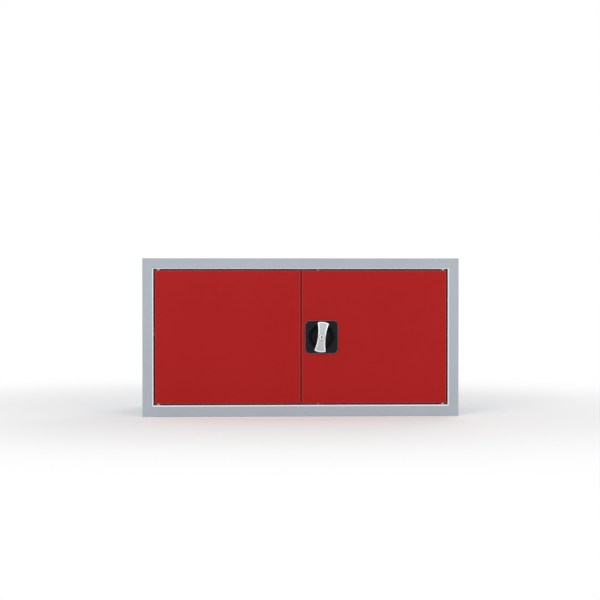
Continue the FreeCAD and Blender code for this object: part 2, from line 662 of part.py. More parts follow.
def handle():
    """Return the cast handle: waisted grip, hub, journal and drive square."""
    reach = math.sqrt(HANDLE_R ** 2 - HANDLE_END ** 2)
    corners = [point(x, HANDLE_FACE, z) for x, z in ((HANDLE_END, reach), (HANDLE_END, -reach),
                                                     (-HANDLE_END, -reach), (-HANDLE_END, reach))]
    outline = Part.Wire([
        Part.Arc(corners[0], point(HANDLE_WAIST, HANDLE_FACE, 0), corners[1]).toShape(),
        Part.Arc(corners[1], point(0, HANDLE_FACE, -HANDLE_R), corners[2]).toShape(),
        Part.Arc(corners[2], point(-HANDLE_WAIST, HANDLE_FACE, 0), corners[3]).toShape(),
        Part.Arc(corners[3], point(0, HANDLE_FACE, HANDLE_R), corners[0]).toShape()])
    face = Part.Face(outline)
    grip = face.extrude(point(0, HANDLE_THICK, 0))
    corner_edges = [edge for edge in grip.Edges if edge.BoundBox.YLength > HANDLE_THICK / 2]
    grip = grip.makeFillet(HANDLE_CORNER, corner_edges)
    rim = [edge for edge in grip.Edges if edge.BoundBox.YMax < HANDLE_FACE + TINY]
    grip = grip.makeFillet(HANDLE_EDGE, rim)
    pocket = face.makeOffset2D(-HANDLE_RIM).extrude(point(0, HANDLE_POCKET, 0))
    pocket = pocket.cut(post_y(HANDLE_BOSS_R, 0, 0, HANDLE_FACE - SHEET, HANDLE_BACK))
    grip = grip.cut(pocket)
    hub = post_y(HUB_R, 0, 0, HANDLE_BACK - HANDLE_THICK / 2, HUB_BACK)
    journal = post_y(JOURNAL_R, 0, 0, HUB_BACK - SHEET, JOURNAL_END)
    half_square = DRIVE_SQUARE / 2
    drive = block(-half_square, half_square, HUB_BACK, CASE_ROOF, -half_square, half_square)
    groove = post_y(JOURNAL_R + SHEET, 0, 0, RETAINER_FACE, RETAINER_FACE + RETAINER).cut(
        post_y(GROOVE_R, 0, 0, RETAINER_FACE, RETAINER_FACE + RETAINER))
    channel = block(-BOLT_WIDTH / 2 - FIXED, BOLT_WIDTH / 2 + FIXED, BOLT_FACE - FIXED, BOLT_REAR + FIXED,
                    -HUB_R - SHEET, BOLT_TAIL + SLIP)
    cam_room = post_y(CAM_RADIUS + CAM_PIN_R + SLIP, 0, 0, BARREL_END, BOLT_REAR)
    bore = post_y(BARREL_R + FIXED, 0, 0, HANDLE_FACE - SHEET, BARREL_END + FIXED)
    body = joined([grip, hub, journal, drive]).cut([groove, channel, cam_room, bore])
    return at_lock(tilted(body))


def lock_cylinder():
    """Return the cylinder barrel that is pressed into the handle."""
    flange_face = HANDLE_FACE - BARREL_PROUD
    barrel = joined([post_y(BARREL_FLANGE_R, 0, 0, flange_face, HANDLE_FACE),
                     post_y(BARREL_R, 0, 0, flange_face, BARREL_END)])
    return at_lock(barrel.cut(post_y(PLUG_R + RUNNING, 0, 0, flange_face - SHEET, BARREL_END + SHEET)))


def key_plug():
    """Return the turning plug with its keyway and the cam pin at its tail."""
    face = HANDLE_FACE - BARREL_PROUD - PLUG_PROUD
    plug = post_y(PLUG_R, 0, 0, face, BARREL_END - FIXED)
    keyway = block(-KEYWAY_WIDTH / 2, KEYWAY_WIDTH / 2, face - SHEET, face + KEYWAY_DEPTH,
                   -KEYWAY_HEIGHT / 2, KEYWAY_HEIGHT / 2)
    offset = CAM_RADIUS / math.sqrt(2)
    pin = tilted(post_y(CAM_PIN_R, offset, offset, BARREL_END - SHEET, BOLT_REAR - FIXED))
    return at_lock(joined([plug.cut(keyway), pin]))


def lock_bolt():
    """Return the bolt that slides out of the hub into the dish ring."""
    half = BOLT_WIDTH / 2
    offset = CAM_RADIUS / math.sqrt(2)
    bolt = block(-half, half, BOLT_FACE, BOLT_REAR, -BOLT_TIP, BOLT_TAIL)
    bolt = bolt.common(post_y(BOLT_TIP, 0, 0, BOLT_FACE, BOLT_REAR))
    room = CAM_PIN_R + SLIP
    slot = block(offset - room, CAM_RADIUS + room, BOLT_FACE - SHEET, BOLT_REAR + SHEET,
                 offset - room, offset + room)
    return at_lock(tilted(bolt.cut(slot)))


def retaining_ring():
    """Return the open ring in the journal's groove."""
    ring = post_y(RETAINER_R, 0, 0, RETAINER_FACE + FIXED, RETAINER_FACE + RETAINER - FIXED)
    hole = post_y(GROOVE_R + FIXED, 0, 0, DISH_BACK, CASE_FACE)
    mouth = block(-RETAINER_MOUTH / 2, RETAINER_MOUTH / 2, DISH_BACK, CASE_FACE, -RETAINER_R - SHEET, 0)
    return at_lock(tilted(ring.cut([hole, mouth])))


def involute(angle):
    """Return the involute of an angle."""
    return math.tan(angle) - angle


def tooth_flank(radius):
    """Return the half angle of a pinion tooth at a radius."""
    pressure = math.radians(PRESSURE_ANGLE)
    base = PITCH_R * math.cos(pressure)
    at_radius = math.acos(min(1.0, base / radius))
    half = (PITCH / 2 - BACKLASH / 2) / (2 * PITCH_R)
    return half + involute(pressure) - involute(at_radius)


def drive_pinion():
    """Return the toothed pinion on the handle's drive square."""
    tip = PITCH_R + ADDENDUM * MODULE
    root = PITCH_R - DEDENDUM * MODULE
    radii = [root] + [PITCH_R + share * ADDENDUM * MODULE for share in (-0.8, -0.3, 0.3, 1.0)]
    corners = []
    for tooth in range(TEETH):
        middle = 2 * math.pi * tooth / TEETH
        rising = [(radius, middle - tooth_flank(radius)) for radius in radii]
        falling = [(radius, middle + tooth_flank(radius)) for radius in reversed(radii)]
        for radius, angle in rising + falling:
            corners.append(point(radius * math.cos(angle), RACK_FACE, radius * math.sin(angle)))
    outline = Part.makePolygon(corners + corners[:1])
    gear = Part.Face(outline).extrude(point(0, RACK_THICK, 0))
    boss = post_y(PINION_BOSS_R, 0, 0, CASE_FACE + SLIP, CASE_BACK)
    half = DRIVE_SQUARE / 2 + FIXED
    square = block(-half, half, CASE_FACE, CASE_BACK + SHEET, -half, half)
    return at_lock(joined([gear.common(post_y(tip, 0, 0, RACK_FACE, RACK_REAR)), boss]).cut(tilted(square)))


def rack_bar(low, high):
    """Return a rack on the pinion's left, toothed over its whole length between two heights."""
    slope = math.tan(math.radians(PRESSURE_ANGLE))
    half = (PITCH / 2 - BACKLASH / 2) / 2
    tip_half = half - ADDENDUM * MODULE * slope
    root_half = half + DEDENDUM * MODULE * slope
    tip = -PITCH_R + ADDENDUM * MODULE
    corners = [point(-RACK_OUTER, RACK_FACE, low), point(-RACK_ROOT, RACK_FACE, low)]
    first = math.ceil((low + RACK_END) / PITCH - TINY)
    last = math.floor((high - RACK_END) / PITCH + TINY)
    for index in range(first, last):
        middle = (index + 0.5) * PITCH
        corners.append(point(-RACK_ROOT, RACK_FACE, middle - root_half))
        corners.append(point(tip, RACK_FACE, middle - tip_half))
        corners.append(point(tip, RACK_FACE, middle + tip_half))
        corners.append(point(-RACK_ROOT, RACK_FACE, middle + root_half))
    corners.append(point(-RACK_ROOT, RACK_FACE, high))
    corners.append(point(-RACK_OUTER, RACK_FACE, high))
    outline = Part.makePolygon(corners + corners[:1])
    return Part.Face(outline).extrude(point(0, RACK_THICK, 0))


def upper_lock_rod():
    """Return the upper rod with its rack on the left of the pinion."""
    rack = rack_bar(-RACK_LONG, RACK_SHORT)
    rod = post_z(ROD_R, -ROD_OFFSET, ROD_Y, RACK_SHORT - ROD_R, ROD_TIP - LOCK_Z)
    return at_lock(joined([rack, rod]))


def lower_lock_rod():
    """Return the lower rod, led from the rack on the right across to the upper rod's line."""
    rack = rack_bar(-RACK_LONG, RACK_SHORT)
    rack.rotate(point(0, 0, 0), point(0, 1, 0), 180)
    leg = block(RACK_ROOT, RACK_OUTER, RACK_FACE, RACK_REAR, -ARM_LOW, -RACK_SHORT + RACK_END)
    arm = block(-RACK_OUTER, RACK_OUTER, RACK_FACE, RACK_REAR, -ARM_LOW, -ARM_TOP)
    rod = post_z(ROD_R, -ROD_OFFSET, ROD_Y, LOCK_Z - ROD_TIP, -ARM_LOW + ARM_HEIGHT / 2)
    return at_lock(joined([rack, leg, arm, rod]))


def lock_case_base():
    """Return the plate between the dish and the racks."""
    half = CASE_HALF + CASE_SHEET + CASE_EAR
    plate = block(-half, half, CASE_FACE, CASE_FLOOR, -CASE_DOWN - CASE_SHEET, CASE_UP + CASE_SHEET)
    holes = [post_y(PINION_BOSS_R + RUNNING, 0, 0, DISH_BACK, RACK_FACE)]
    holes.extend(post_y(SCREW_R + FIXED, x, z, DISH_BACK, RACK_FACE) for x, z in case_screw_places())
    return at_lock(plate.cut(holes))


def lock_case_cover():
    """Return the box that closes the lock case, with its ears and rod slots."""
    inner = CASE_HALF
    outer = CASE_HALF + CASE_SHEET
    shell = block(-outer, outer, CASE_FLOOR, CASE_BACK, -CASE_DOWN - CASE_SHEET, CASE_UP + CASE_SHEET)
    ears = block(-outer - CASE_EAR, outer + CASE_EAR, CASE_FLOOR, CASE_FLOOR + CASE_SHEET,
                 -CASE_DOWN - CASE_SHEET, CASE_UP + CASE_SHEET)
    room = block(-inner, inner, CASE_FLOOR - SHEET, CASE_ROOF, -CASE_DOWN, CASE_UP)
    slot = block(-ROD_OFFSET - ROD_R - SLIP, -ROD_OFFSET + ROD_R + SLIP, CASE_FLOOR - SHEET, CASE_ROOF,
                 -CASE_DOWN - 2 * CASE_SHEET, CASE_UP + 2 * CASE_SHEET)
    holes = [room, slot, post_y(PINION_BOSS_R + RUNNING, 0, 0, RACK_REAR, CASE_BACK + SHEET)]
    holes.extend(post_y(SCREW_R + FIXED, x, z, CASE_FACE, CASE_ROOF) for x, z in case_screw_places())
    return at_lock(joined([shell, ears]).cut(holes))


def save(name, shape):
    """Write one node to its file after checking that it is sound."""
    if not shape.isValid() or shape.Volume <= 0:
        raise ValueError("unsound shape: " + name)
    shape.exportStep(os.path.join("parts", name + ".step"))


os.makedirs("parts", exist_ok=True)

save("top_panel", top_panel())
save("bottom_panel", bottom_panel())
save("back_panel", back_panel())
save("shelf", shelf())

for side_name, side in (("left", -1), ("right", 1)):
    save(side_name + "_side_panel", on_right(side_panel(), side))
    save(side_name + "_door_panel", door_panel(side))
    save(side_name + "_door_stiffener", on_right(door_stiffener(), side))
    for place_name, place_y in (("front", FRONT + STRIP_FRONT_INSET), ("rear", BACK - STRIP_REAR_INSET)):
        save(side_name + "_" + place_name + "_shelf_strip", on_right(shelf_strip(place_y), side))
        save(side_name + "_" + place_name + "_shelf_clip", on_right(shelf_clip(place_y), side))
    for end_name, end in (("upper", 1), ("lower", -1)):
        save(side_name + "_" + end_name + "_hinge_bush", on_right(hinge_bush(end), side))
        save(side_name + "_" + end_name + "_hinge_pin", on_right(hinge_pin(end), side))
        save(side_name + "_" + end_name + "_pivot_bracket", on_right(pivot_bracket(end), side))
        save(side_name + "_" + end_name + "_door_buffer", on_right(door_buffer(end), side))

for end_name, end in (("upper", 1), ("lower", -1)):
    save(end_name + "_rod_keeper", rod_keeper(end))
    save(end_name + "_rod_bush", rod_bush(end))

save("door_stop_strip", door_stop_strip())
save("lock_plate", lock_plate())
save("lock_plate_screws", screws(plate_screw_places(), FRONT + SHEET, PLATE_FACE + 2 * SCREW_R))
save("lock_case_base", lock_case_base())
save("lock_case_cover", lock_case_cover())
save("lock_case_screws", screws(case_screw_places(), CASE_FLOOR + CASE_SHEET, CASE_FACE - CASE_STANDOFF))
save("handle", handle())
save("lock_cylinder", lock_cylinder())
save("key_plug", key_plug())
save("lock_bolt", lock_bolt())
save("retaining_ring", retaining_ring())
save("drive_pinion", drive_pinion())
save("upper_lock_rod", upper_lock_rod())
save("lower_lock_rod", lower_lock_rod())
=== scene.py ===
import json
import logging
import math
from collections.abc import Callable, Iterable
from dataclasses import dataclass
from enum import Enum
from typing import ClassVar

import bpy
from bpy.types import Material, Node, NodeOutputs, NodeSocket, NodeTree, Object
from mathutils import Matrix, Vector


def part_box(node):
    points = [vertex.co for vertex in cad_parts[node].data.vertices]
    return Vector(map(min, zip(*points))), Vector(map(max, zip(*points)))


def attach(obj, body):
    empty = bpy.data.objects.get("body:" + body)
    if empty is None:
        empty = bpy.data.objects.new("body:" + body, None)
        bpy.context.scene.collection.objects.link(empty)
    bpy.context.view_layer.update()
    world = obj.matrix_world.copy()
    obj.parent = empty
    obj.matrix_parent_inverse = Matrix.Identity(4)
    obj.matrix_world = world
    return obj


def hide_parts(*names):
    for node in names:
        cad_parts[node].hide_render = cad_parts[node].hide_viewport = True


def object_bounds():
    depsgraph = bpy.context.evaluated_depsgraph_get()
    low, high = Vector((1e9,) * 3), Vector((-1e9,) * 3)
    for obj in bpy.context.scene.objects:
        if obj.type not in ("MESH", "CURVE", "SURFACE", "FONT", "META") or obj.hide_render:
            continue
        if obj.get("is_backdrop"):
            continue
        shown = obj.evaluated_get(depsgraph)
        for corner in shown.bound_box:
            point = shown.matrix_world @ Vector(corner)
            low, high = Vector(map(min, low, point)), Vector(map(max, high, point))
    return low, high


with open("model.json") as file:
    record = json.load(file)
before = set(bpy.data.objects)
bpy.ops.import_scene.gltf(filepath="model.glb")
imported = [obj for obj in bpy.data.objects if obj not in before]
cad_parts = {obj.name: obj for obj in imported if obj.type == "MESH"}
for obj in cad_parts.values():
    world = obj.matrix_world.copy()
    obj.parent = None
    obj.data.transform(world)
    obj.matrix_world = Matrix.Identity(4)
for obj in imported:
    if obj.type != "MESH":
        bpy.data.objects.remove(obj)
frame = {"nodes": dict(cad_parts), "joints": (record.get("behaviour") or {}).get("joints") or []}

log = logging.getLogger("cabinet")

# Sizes are written in millimetres and turned to Blender's metres by this value.
MM = 0.001
WHITE = "#FFFFFF"
# The handle and the plug's cam rest with their tops leaning to the right.
LEAN = math.radians(6.7)
# A step too small to see: the slope of a turned shoulder, and how near a point lies to the face that it is on.
HAIR = 0.01 * MM
# Points that are nearer to each other than this are doubles.
DOUBLE = 0.002 * MM
# Edges sharper than the first angle can be rounded, and edges sharper than the second stay crisp in the shading.
CREASE = math.radians(40)
CRISP = math.radians(32)

# What each socket of a surface shader gets, a number or another node's output.
Looks = dict[str, NodeSocket | float]


class Body(Enum):
    """The moving groups that the new pieces ride on."""

    RIGHT_DOOR = "right_door"
    HANDLE = "handle"
    KEY_PLUG = "key_plug"


class Slot(Enum):
    """The record's names for the finishes."""

    GREY = "grey_powder_coat"
    RED = "red_powder_coat"
    GALVANISED = "galvanised_sheet"
    ZINC = "zinc_plated_steel"
    PLASTIC = "black_plastic"
    HANDLE = "satin_handle"
    NICKEL = "nickel_cylinder"
    NYLON = "white_nylon"
    RUBBER = "black_rubber"


class Cut(Enum):
    """What becomes of a solid that meets another."""

    JOIN = "UNION"
    SUBTRACT = "DIFFERENCE"


def linear(colour: str) -> tuple[float, float, float, float]:
    """Turn an sRGB hex colour into the linear values that sockets take.

    Args:
        colour: Six hex digits with a leading hash.

    Returns:
        Linear red, green and blue, and a full alpha.
    """
    values = []
    for place in (1, 3, 5):
        part = int(colour[place:place + 2], 16) / 255
        values.append(part / 12.92 if part <= 0.04045 else ((part + 0.055) / 1.055) ** 2.4)
    return (values[0], values[1], values[2], 1.0)


def feed(tree: NodeTree, node: Node, inputs: dict) -> None:
    """Give a node's sockets their values and links.

    Args:
        tree: The node's tree.
        node: The node that is fed.
        inputs: Socket names or numbers with a value or another node's output.
    """
    for key, value in inputs.items():
        if isinstance(value, NodeSocket):
            tree.links.new(value, node.inputs[key])
        else:
            node.inputs[key].default_value = value


def add_node(tree: NodeTree, kind: str, inputs: dict | None = None, **settings) -> NodeOutputs:
    """Add a node, set it up and feed its sockets.

    Args:
        tree: The node tree that gets the node.
        kind: The node's type name, without the shader prefix.
        inputs: Socket names or numbers with a value or another node's output.
        **settings: Properties of the node itself.

    Returns:
        The new node's outputs.
    """
    node = tree.nodes.new("ShaderNode" + kind)
    for name, value in settings.items():
        setattr(node, name, value)
    feed(tree, node, inputs or {})
    return node.outputs


def per_mm(size: float) -> float:
    """Return the texture scale that repeats a pattern every so many millimetres."""
    return 1.0 / (size * MM)


@dataclass(frozen=True)
class Finish:
    """A surface finish that becomes one material, made the first time it is used."""

    name: str

    def material(self) -> Material:
        """Find this finish's material, or make it.

        Returns:
            The material.
        """
        found = bpy.data.materials.get(self.name)
        if found is not None:
            return found
        made = bpy.data.materials.new(self.name)
        made.use_nodes = True
        tree = made.node_tree
        looks = self.paint(tree, add_node(tree, "TexCoord")["Object"])
        feed(tree, tree.nodes["Principled BSDF"], looks)
        return made

    def paint(self, tree: NodeTree, place: NodeSocket) -> Looks:
        """Lay out the finish's nodes; each kind of finish has its own.

        Args:
            tree: The material's node tree.
            place: The place on the surface.

        Returns:
            What the shader gets.
        """
        raise NotImplementedError


@dataclass(frozen=True)
class FrontEdge:
    """The line that the painted highlights follow along the front folds and edges, one rectangle or a mirrored pair
    of them.
    """

    middle_x: float
    middle_z: float
    half_x: float
    half_z: float
    front: float
    width: float
    depth: float
    corner: float = 0.0

    def away(self, tree: NodeTree, place: NodeSocket) -> NodeSocket:
        """Measure how far a place lies from the line, in the front's own plane or behind it.

        What lies behind the front counts for more, so that the line ends at its depth and stays out of the gaps.

        Args:
            tree: The tree that asks.
            place: The place's socket.

        Returns:
            The distance's socket.
        """
        axes = add_node(tree, "SeparateXYZ", {0: place})
        mirrored = add_node(tree, "Math", {0: axes[0]}, operation="ABSOLUTE")[0]
        beyond = []
        for past, middle, half in ((mirrored, self.middle_x, self.half_x), (axes[2], self.middle_z, self.half_z)):
            for operation, value in (("SUBTRACT", middle), ("ABSOLUTE", 0.0), ("SUBTRACT", half - self.corner)):
                past = add_node(tree, "Math", {0: past, 1: value}, operation=operation)[0]
            beyond.append(past)
        # Past both sides the distance runs round the corner, and inside them it runs to the nearer side.
        pair = add_node(tree, "CombineXYZ", {0: beyond[0], 1: beyond[1]})
        pair = add_node(tree, "VectorMath", {0: pair[0]}, operation="MAXIMUM")
        across = add_node(tree, "VectorMath", {0: pair[0]}, operation="LENGTH")["Value"]
        inside = add_node(tree, "Math", {0: beyond[0], 1: beyond[1]}, operation="MAXIMUM")
        inside = add_node(tree, "Math", {0: inside[0], 1: 0.0}, operation="MINIMUM")
        for operation, value in (("ADD", inside[0]), ("SUBTRACT", self.corner), ("ABSOLUTE", 0.0)):
            across = add_node(tree, "Math", {0: across, 1: value}, operation=operation)[0]
        behind = add_node(tree, "Math", {0: axes[1], 1: self.front}, operation="SUBTRACT")
        behind = add_node(tree, "Math", {0: behind[0], 1: self.width / self.depth}, operation="MULTIPLY")
        return add_node(tree, "Math", {0: across, 1: behind[0]}, operation="MAXIMUM")[0]


@dataclass(frozen=True)
class WeldRow:
    """Upright rows of spot welds, the same on both halves of the cabinet."""

    middle_x: float
    spread: float
    near: float
    far: float
    pitch: float = 62 * MM
    radius: float = 4.5 * MM

    def away(self, tree: NodeTree, place: NodeSocket) -> NodeSocket:
        """Measure how far a place lies from the middle of the nearest weld, in weld radii.

        Args:
            tree: The tree that asks.
            place: The place's socket.

        Returns:
            The distance's socket, 1 and more off the welds.
        """
        axes = add_node(tree, "SeparateXYZ", {0: place})
        side = add_node(tree, "Math", {0: axes[0]}, operation="ABSOLUTE")
        for inset in (self.middle_x, self.spread):
            side = add_node(tree, "Math", {0: side[0], 1: inset}, operation="SUBTRACT")
            side = add_node(tree, "Math", {0: side[0]}, operation="ABSOLUTE")
        along = add_node(tree, "Math", {0: axes[2], 1: self.pitch}, operation="PINGPONG")
        along = add_node(tree, "Math", {0: along[0], 1: self.pitch / 2}, operation="SUBTRACT")
        flat = add_node(tree, "CombineXYZ", {0: side[0], 1: along[0]})
        reach = add_node(tree, "VectorMath", {0: flat[0]}, operation="LENGTH")
        reach = add_node(tree, "Math", {0: reach["Value"], 1: self.radius}, operation="DIVIDE")
        middle, half = (self.near + self.far) / 2, (self.far - self.near) / 2
        deep = add_node(tree, "Math", {0: axes[1], 1: middle, 2: half}, operation="COMPARE")
        elsewhere = add_node(tree, "Math", {0: 1.0, 1: deep[0]}, operation="SUBTRACT")
        return add_node(tree, "Math", {0: reach[0], 1: elsewhere[0]}, operation="MAXIMUM")[0]


@dataclass(frozen=True)
class PowderCoat(Finish):
    """Polyester powder, sprayed on folded steel and baked to a satin skin."""

    colour: str
    drift: str
    fold_highlight: str
    highlight_share: float
    edge: FrontEdge
    welds: WeldRow
    roughness: float
    gloss: float
    drift_mm: float = 260.0
    drift_from: float = 0.35
    drift_full: float = 0.65
    highlight_fade: float = 1.4
    weld_depth_mm: float = 0.8
    weld_floor: float = 0.45
    peel_mm: float = 5.0
    peel_depth_mm: float = 0.4
    speck_mm: float = 1.6
    speck: float = 0.06

    def paint(self, tree: NodeTree, place: NodeSocket) -> Looks:
        """Lay out a drifting colour, a painted highlight along the front folds, the dimples of the welds and an
        orange peel.

        Args:
            tree: The material's node tree.
            place: The place on the surface.

        Returns:
            What the shader gets.
        """
        # The bake leaves wide, faint clouds of tone, so that a large panel is never quite one colour.
        clouds = add_node(tree, "TexNoise", {"Vector": place, "Scale": per_mm(self.drift_mm), "Detail": 3.0})
        tone = add_node(tree, "MapRange", {0: clouds[0], 1: self.drift_from, 2: self.drift_full})
        skin = add_node(tree, "Mix", {0: tone[0], 6: linear(self.colour), 7: linear(self.drift)}, data_type="RGBA")
        # Painted highlight: a pale line along the front folds that stands for the light their rounded bends catch.
        near_highlight = add_node(tree, "MapRange", {
            0: self.edge.away(tree, place), 1: self.edge.width, 2: self.highlight_fade * self.edge.width,
            3: self.highlight_share, 4: 0.0})
        colour = add_node(tree, "Mix", {0: near_highlight[0], 6: skin[2], 7: linear(self.fold_highlight)}, data_type="RGBA")
        # Orange peel is about 2 mm apart on the real skin; it is drawn coarser so that a close view shows it.
        peel = add_node(tree, "TexNoise", {"Vector": place, "Scale": per_mm(self.peel_mm), "Detail": 2.0})
        bump = add_node(tree, "Bump", {"Height": peel[0], "Strength": 0.1, "Distance": self.peel_depth_mm * MM})
        # The weld tongs leave a shallow round dimple, which the powder covers but does not fill; the real one is
        # about 0.3 mm deep, drawn deeper so that it shows from a few steps away.
        dimple = add_node(tree, "MapRange", {0: self.welds.away(tree, place), 1: self.weld_floor, 2: 1.0},
                          interpolation_type="SMOOTHSTEP")
        bump = add_node(tree, "Bump", {"Height": dimple[0], "Distance": self.weld_depth_mm * MM, "Normal": bump[0]})
        specks = add_node(tree, "TexNoise", {"Vector": place, "Scale": per_mm(self.speck_mm)})
        rough = add_node(tree, "MapRange", {0: specks[0], 3: self.roughness - self.speck,
                                            4: self.roughness + self.speck})
        return {"Base Color": colour[2], "Normal": bump[0], "Roughness": rough[0], "Specular IOR Level": self.gloss}


@dataclass(frozen=True)
class GalvanisedSheet(Finish):
    """Hot-dip zinc on sheet steel, with its frozen crystals, the spangle."""

    dark: str = "#B0B5B9"
    bright: str = "#D4D8DB"
    spangle_mm: float = 11.0
    spangle_share: float = 0.6
    warp_mm: float = 3.0
    streak_mm: float = 90.0
    bright_from: float = 0.3
    bright_full: float = 1.2
    smoothest: float = 0.34
    roughest: float = 0.52
    metallic: float = 0.6

    def paint(self, tree: NodeTree, place: NodeSocket) -> Looks:
        """Lay out crystals that differ in tone and gloss.

        Args:
            tree: The material's node tree.
            place: The place on the surface.

        Returns:
            What the shader gets.
        """
        warp = add_node(tree, "TexNoise", {"Vector": place, "Scale": per_mm(self.spangle_mm / 2)})
        bent = add_node(tree, "VectorMath", {0: warp[1], 1: 3 * (self.warp_mm * MM,), 2: place},
                        operation="MULTIPLY_ADD")
        # Each crystal froze its own way, so each throws the light back a little differently.
        crystal = add_node(tree, "TexVoronoi", {"Vector": bent[0], "Scale": per_mm(self.spangle_mm)})
        grey = add_node(tree, "SeparateColor", {0: crystal["Color"]})
        cloud = add_node(tree, "TexNoise", {"Vector": place, "Scale": per_mm(self.streak_mm)})
        mixed = add_node(tree, "Math", {0: grey[0], 1: self.spangle_share, 2: cloud[0]}, operation="MULTIPLY_ADD")
        level = add_node(tree, "MapRange", {0: mixed[0], 1: self.bright_from, 2: self.bright_full})
        tone = add_node(tree, "Mix", {0: level[0], 6: linear(self.dark), 7: linear(self.bright)}, data_type="RGBA")
        rough = add_node(tree, "MapRange", {0: grey[1], 3: self.smoothest, 4: self.roughest})
        return {"Base Color": tone[2], "Roughness": rough[0], "Metallic": self.metallic}


@dataclass(frozen=True)
class PlatedMetal(Finish):
    """Plated steel or brass: a thin bright skin over drawn, pressed or turned metal."""

    colour: str
    tint: str
    roughness: float
    cloud_mm: float = 18.0
    mark_mm: float = 1.2
    mark_detail: float = 4.0
    tint_from: float = 0.35
    tint_full: float = 0.65
    smoother: float = 0.08
    rougher: float = 0.1
    pit_mm: float = 0.0
    metallic: float = 1.0

    def paint(self, tree: NodeTree, place: NodeSocket) -> Looks:
        """Lay out clouds of tone, fine handling marks and, where the metal has them, pits.

        Args:
            tree: The material's node tree.
            place: The place on the surface.

        Returns:
            What the shader gets.
        """
        # The clear dip after plating dries in clouds that lean a little blue or yellow.
        cloud = add_node(tree, "TexNoise", {"Vector": place, "Scale": per_mm(self.cloud_mm), "Detail": 3.0})
        level = add_node(tree, "MapRange", {0: cloud[0], 1: self.tint_from, 2: self.tint_full})
        tone = add_node(tree, "Mix", {0: level[0], 6: linear(self.colour), 7: linear(self.tint)}, data_type="RGBA")
        marks = add_node(tree, "TexNoise", {"Vector": place, "Scale": per_mm(self.mark_mm),
                                            "Detail": self.mark_detail})
        rough = add_node(tree, "MapRange", {0: marks[0], 3: self.roughness - self.smoother,
                                            4: self.roughness + self.rougher})
        looks = {"Base Color": tone[2], "Roughness": rough[0], "Metallic": self.metallic}
        if self.pit_mm:
            pits = add_node(tree, "Bump", {"Height": cloud[0], "Strength": 0.35, "Distance": self.pit_mm * MM})
            looks["Normal"] = pits[0]
        return looks


@dataclass(frozen=True)
class CastMetal(PlatedMetal):
    """Cast metal, blasted or rubbed smooth under lacquer, with pits that soften what it mirrors; also used near black
    as painted shade in hollows.
    """

    mark_detail: float = 3.0
    tint_from: float = 0.3
    tint_full: float = 0.7
    smoother: float = 0.05
    rougher: float = 0.08
    pit_mm: float = 0.02


@dataclass(frozen=True)
class Moulded(Finish):
    """Injection-moulded plastic or rubber with the tool's fine spark grain."""

    colour: str
    pale: str
    roughness: float
    gloss: float
    grain_mm: float
    grain_depth_mm: float
    haze_in_grains: ClassVar[float] = 12
    haze: ClassVar[float] = 0.08

    def paint(self, tree: NodeTree, place: NodeSocket) -> Looks:
        """Lay out the moulded grain and faint handling haze.

        Args:
            tree: The material's node tree.
            place: The place on the surface.

        Returns:
            What the shader gets.
        """
        grain = add_node(tree, "TexVoronoi", {"Vector": place, "Scale": per_mm(self.grain_mm)}, feature="SMOOTH_F1")
        haze = add_node(tree, "TexNoise", {"Vector": place, "Scale": per_mm(self.haze_in_grains * self.grain_mm),
                                           "Detail": 4.0})
        level = add_node(tree, "Math", {0: grain[0], 1: haze[0]}, operation="MULTIPLY")
        tone = add_node(tree, "Mix", {0: level[0], 6: linear(self.colour), 7: linear(self.pale)}, data_type="RGBA")
        # The grain scatters the sheen, so that the plastic looks soft instead of wet.
        bump = add_node(tree, "Bump", {"Height": grain[0], "Strength": 0.3, "Distance": self.grain_depth_mm * MM})
        rough = add_node(tree, "MapRange", {0: haze[0], 3: self.roughness - self.haze, 4: self.roughness + self.haze})
        return {"Base Color": tone[2], "Normal": bump[0], "Roughness": rough[0], "Specular IOR Level": self.gloss}


@dataclass(frozen=True)
class EdgedMoulding(Moulded):
    """Moulded plastic with a painted highlight along its outer edge and painted shade on the floor of its dish."""

    edge_highlight: str
    edge: FrontEdge
    dish_shade: str
    dish_depth: float
    edge_core: float = 0.5
    dish_from: float = 0.75
    dish_full: float = 0.95

    def paint(self, tree: NodeTree, place: NodeSocket) -> Looks:
        """Lay out the moulding, then a painted highlight along its outer edge and painted shade on the floor of the
        dish.

        Args:
            tree: The material's node tree.
            place: The place on the surface.

        Returns:
            What the shader gets.
        """
        looks = super().paint(tree, place)
        # Painted highlight: a thin pale line along the plate's rounded outer edge.
        near_edge = add_node(tree, "MapRange", {
            0: self.edge.away(tree, place), 1: self.edge_core * self.edge.width, 2: self.edge.width, 3: 1.0, 4: 0.0})
        edge_lit = add_node(tree, "Mix", {0: near_edge[0], 6: looks["Base Color"], 7: linear(self.edge_highlight)},
                         data_type="RGBA")
        # Painted shade: the floor of the dish is drawn darker, deeper in the recess.
        depth = add_node(tree, "SeparateXYZ", {0: place})
        sunk = add_node(tree, "MapRange", {
            0: depth[1], 1: self.edge.front + self.dish_from * self.dish_depth,
            2: self.edge.front + self.dish_full * self.dish_depth})
        dish_shaded = add_node(tree, "Mix", {0: sunk[0], 6: edge_lit[2], 7: linear(self.dish_shade)}, data_type="RGBA")
        return looks | {"Base Color": dish_shaded[2]}


def activate(piece: Object) -> None:
    """Make one object the only selected and the active one.

    Args:
        piece: The object.
    """
    bpy.ops.object.select_all(action="DESELECT")
    piece.select_set(True)
    bpy.context.view_layer.objects.active = piece


def keep_new(name: str) -> Object:
    """Name the primitive that was just added and move its place into its mesh.

    Args:
        name: The piece's name.

    Returns:
        The object, at the origin.
    """
    piece = bpy.context.object
    piece.name = name
    piece.data.name = name
    bpy.ops.object.transform_apply(location=True, rotation=True, scale=True)
    return piece


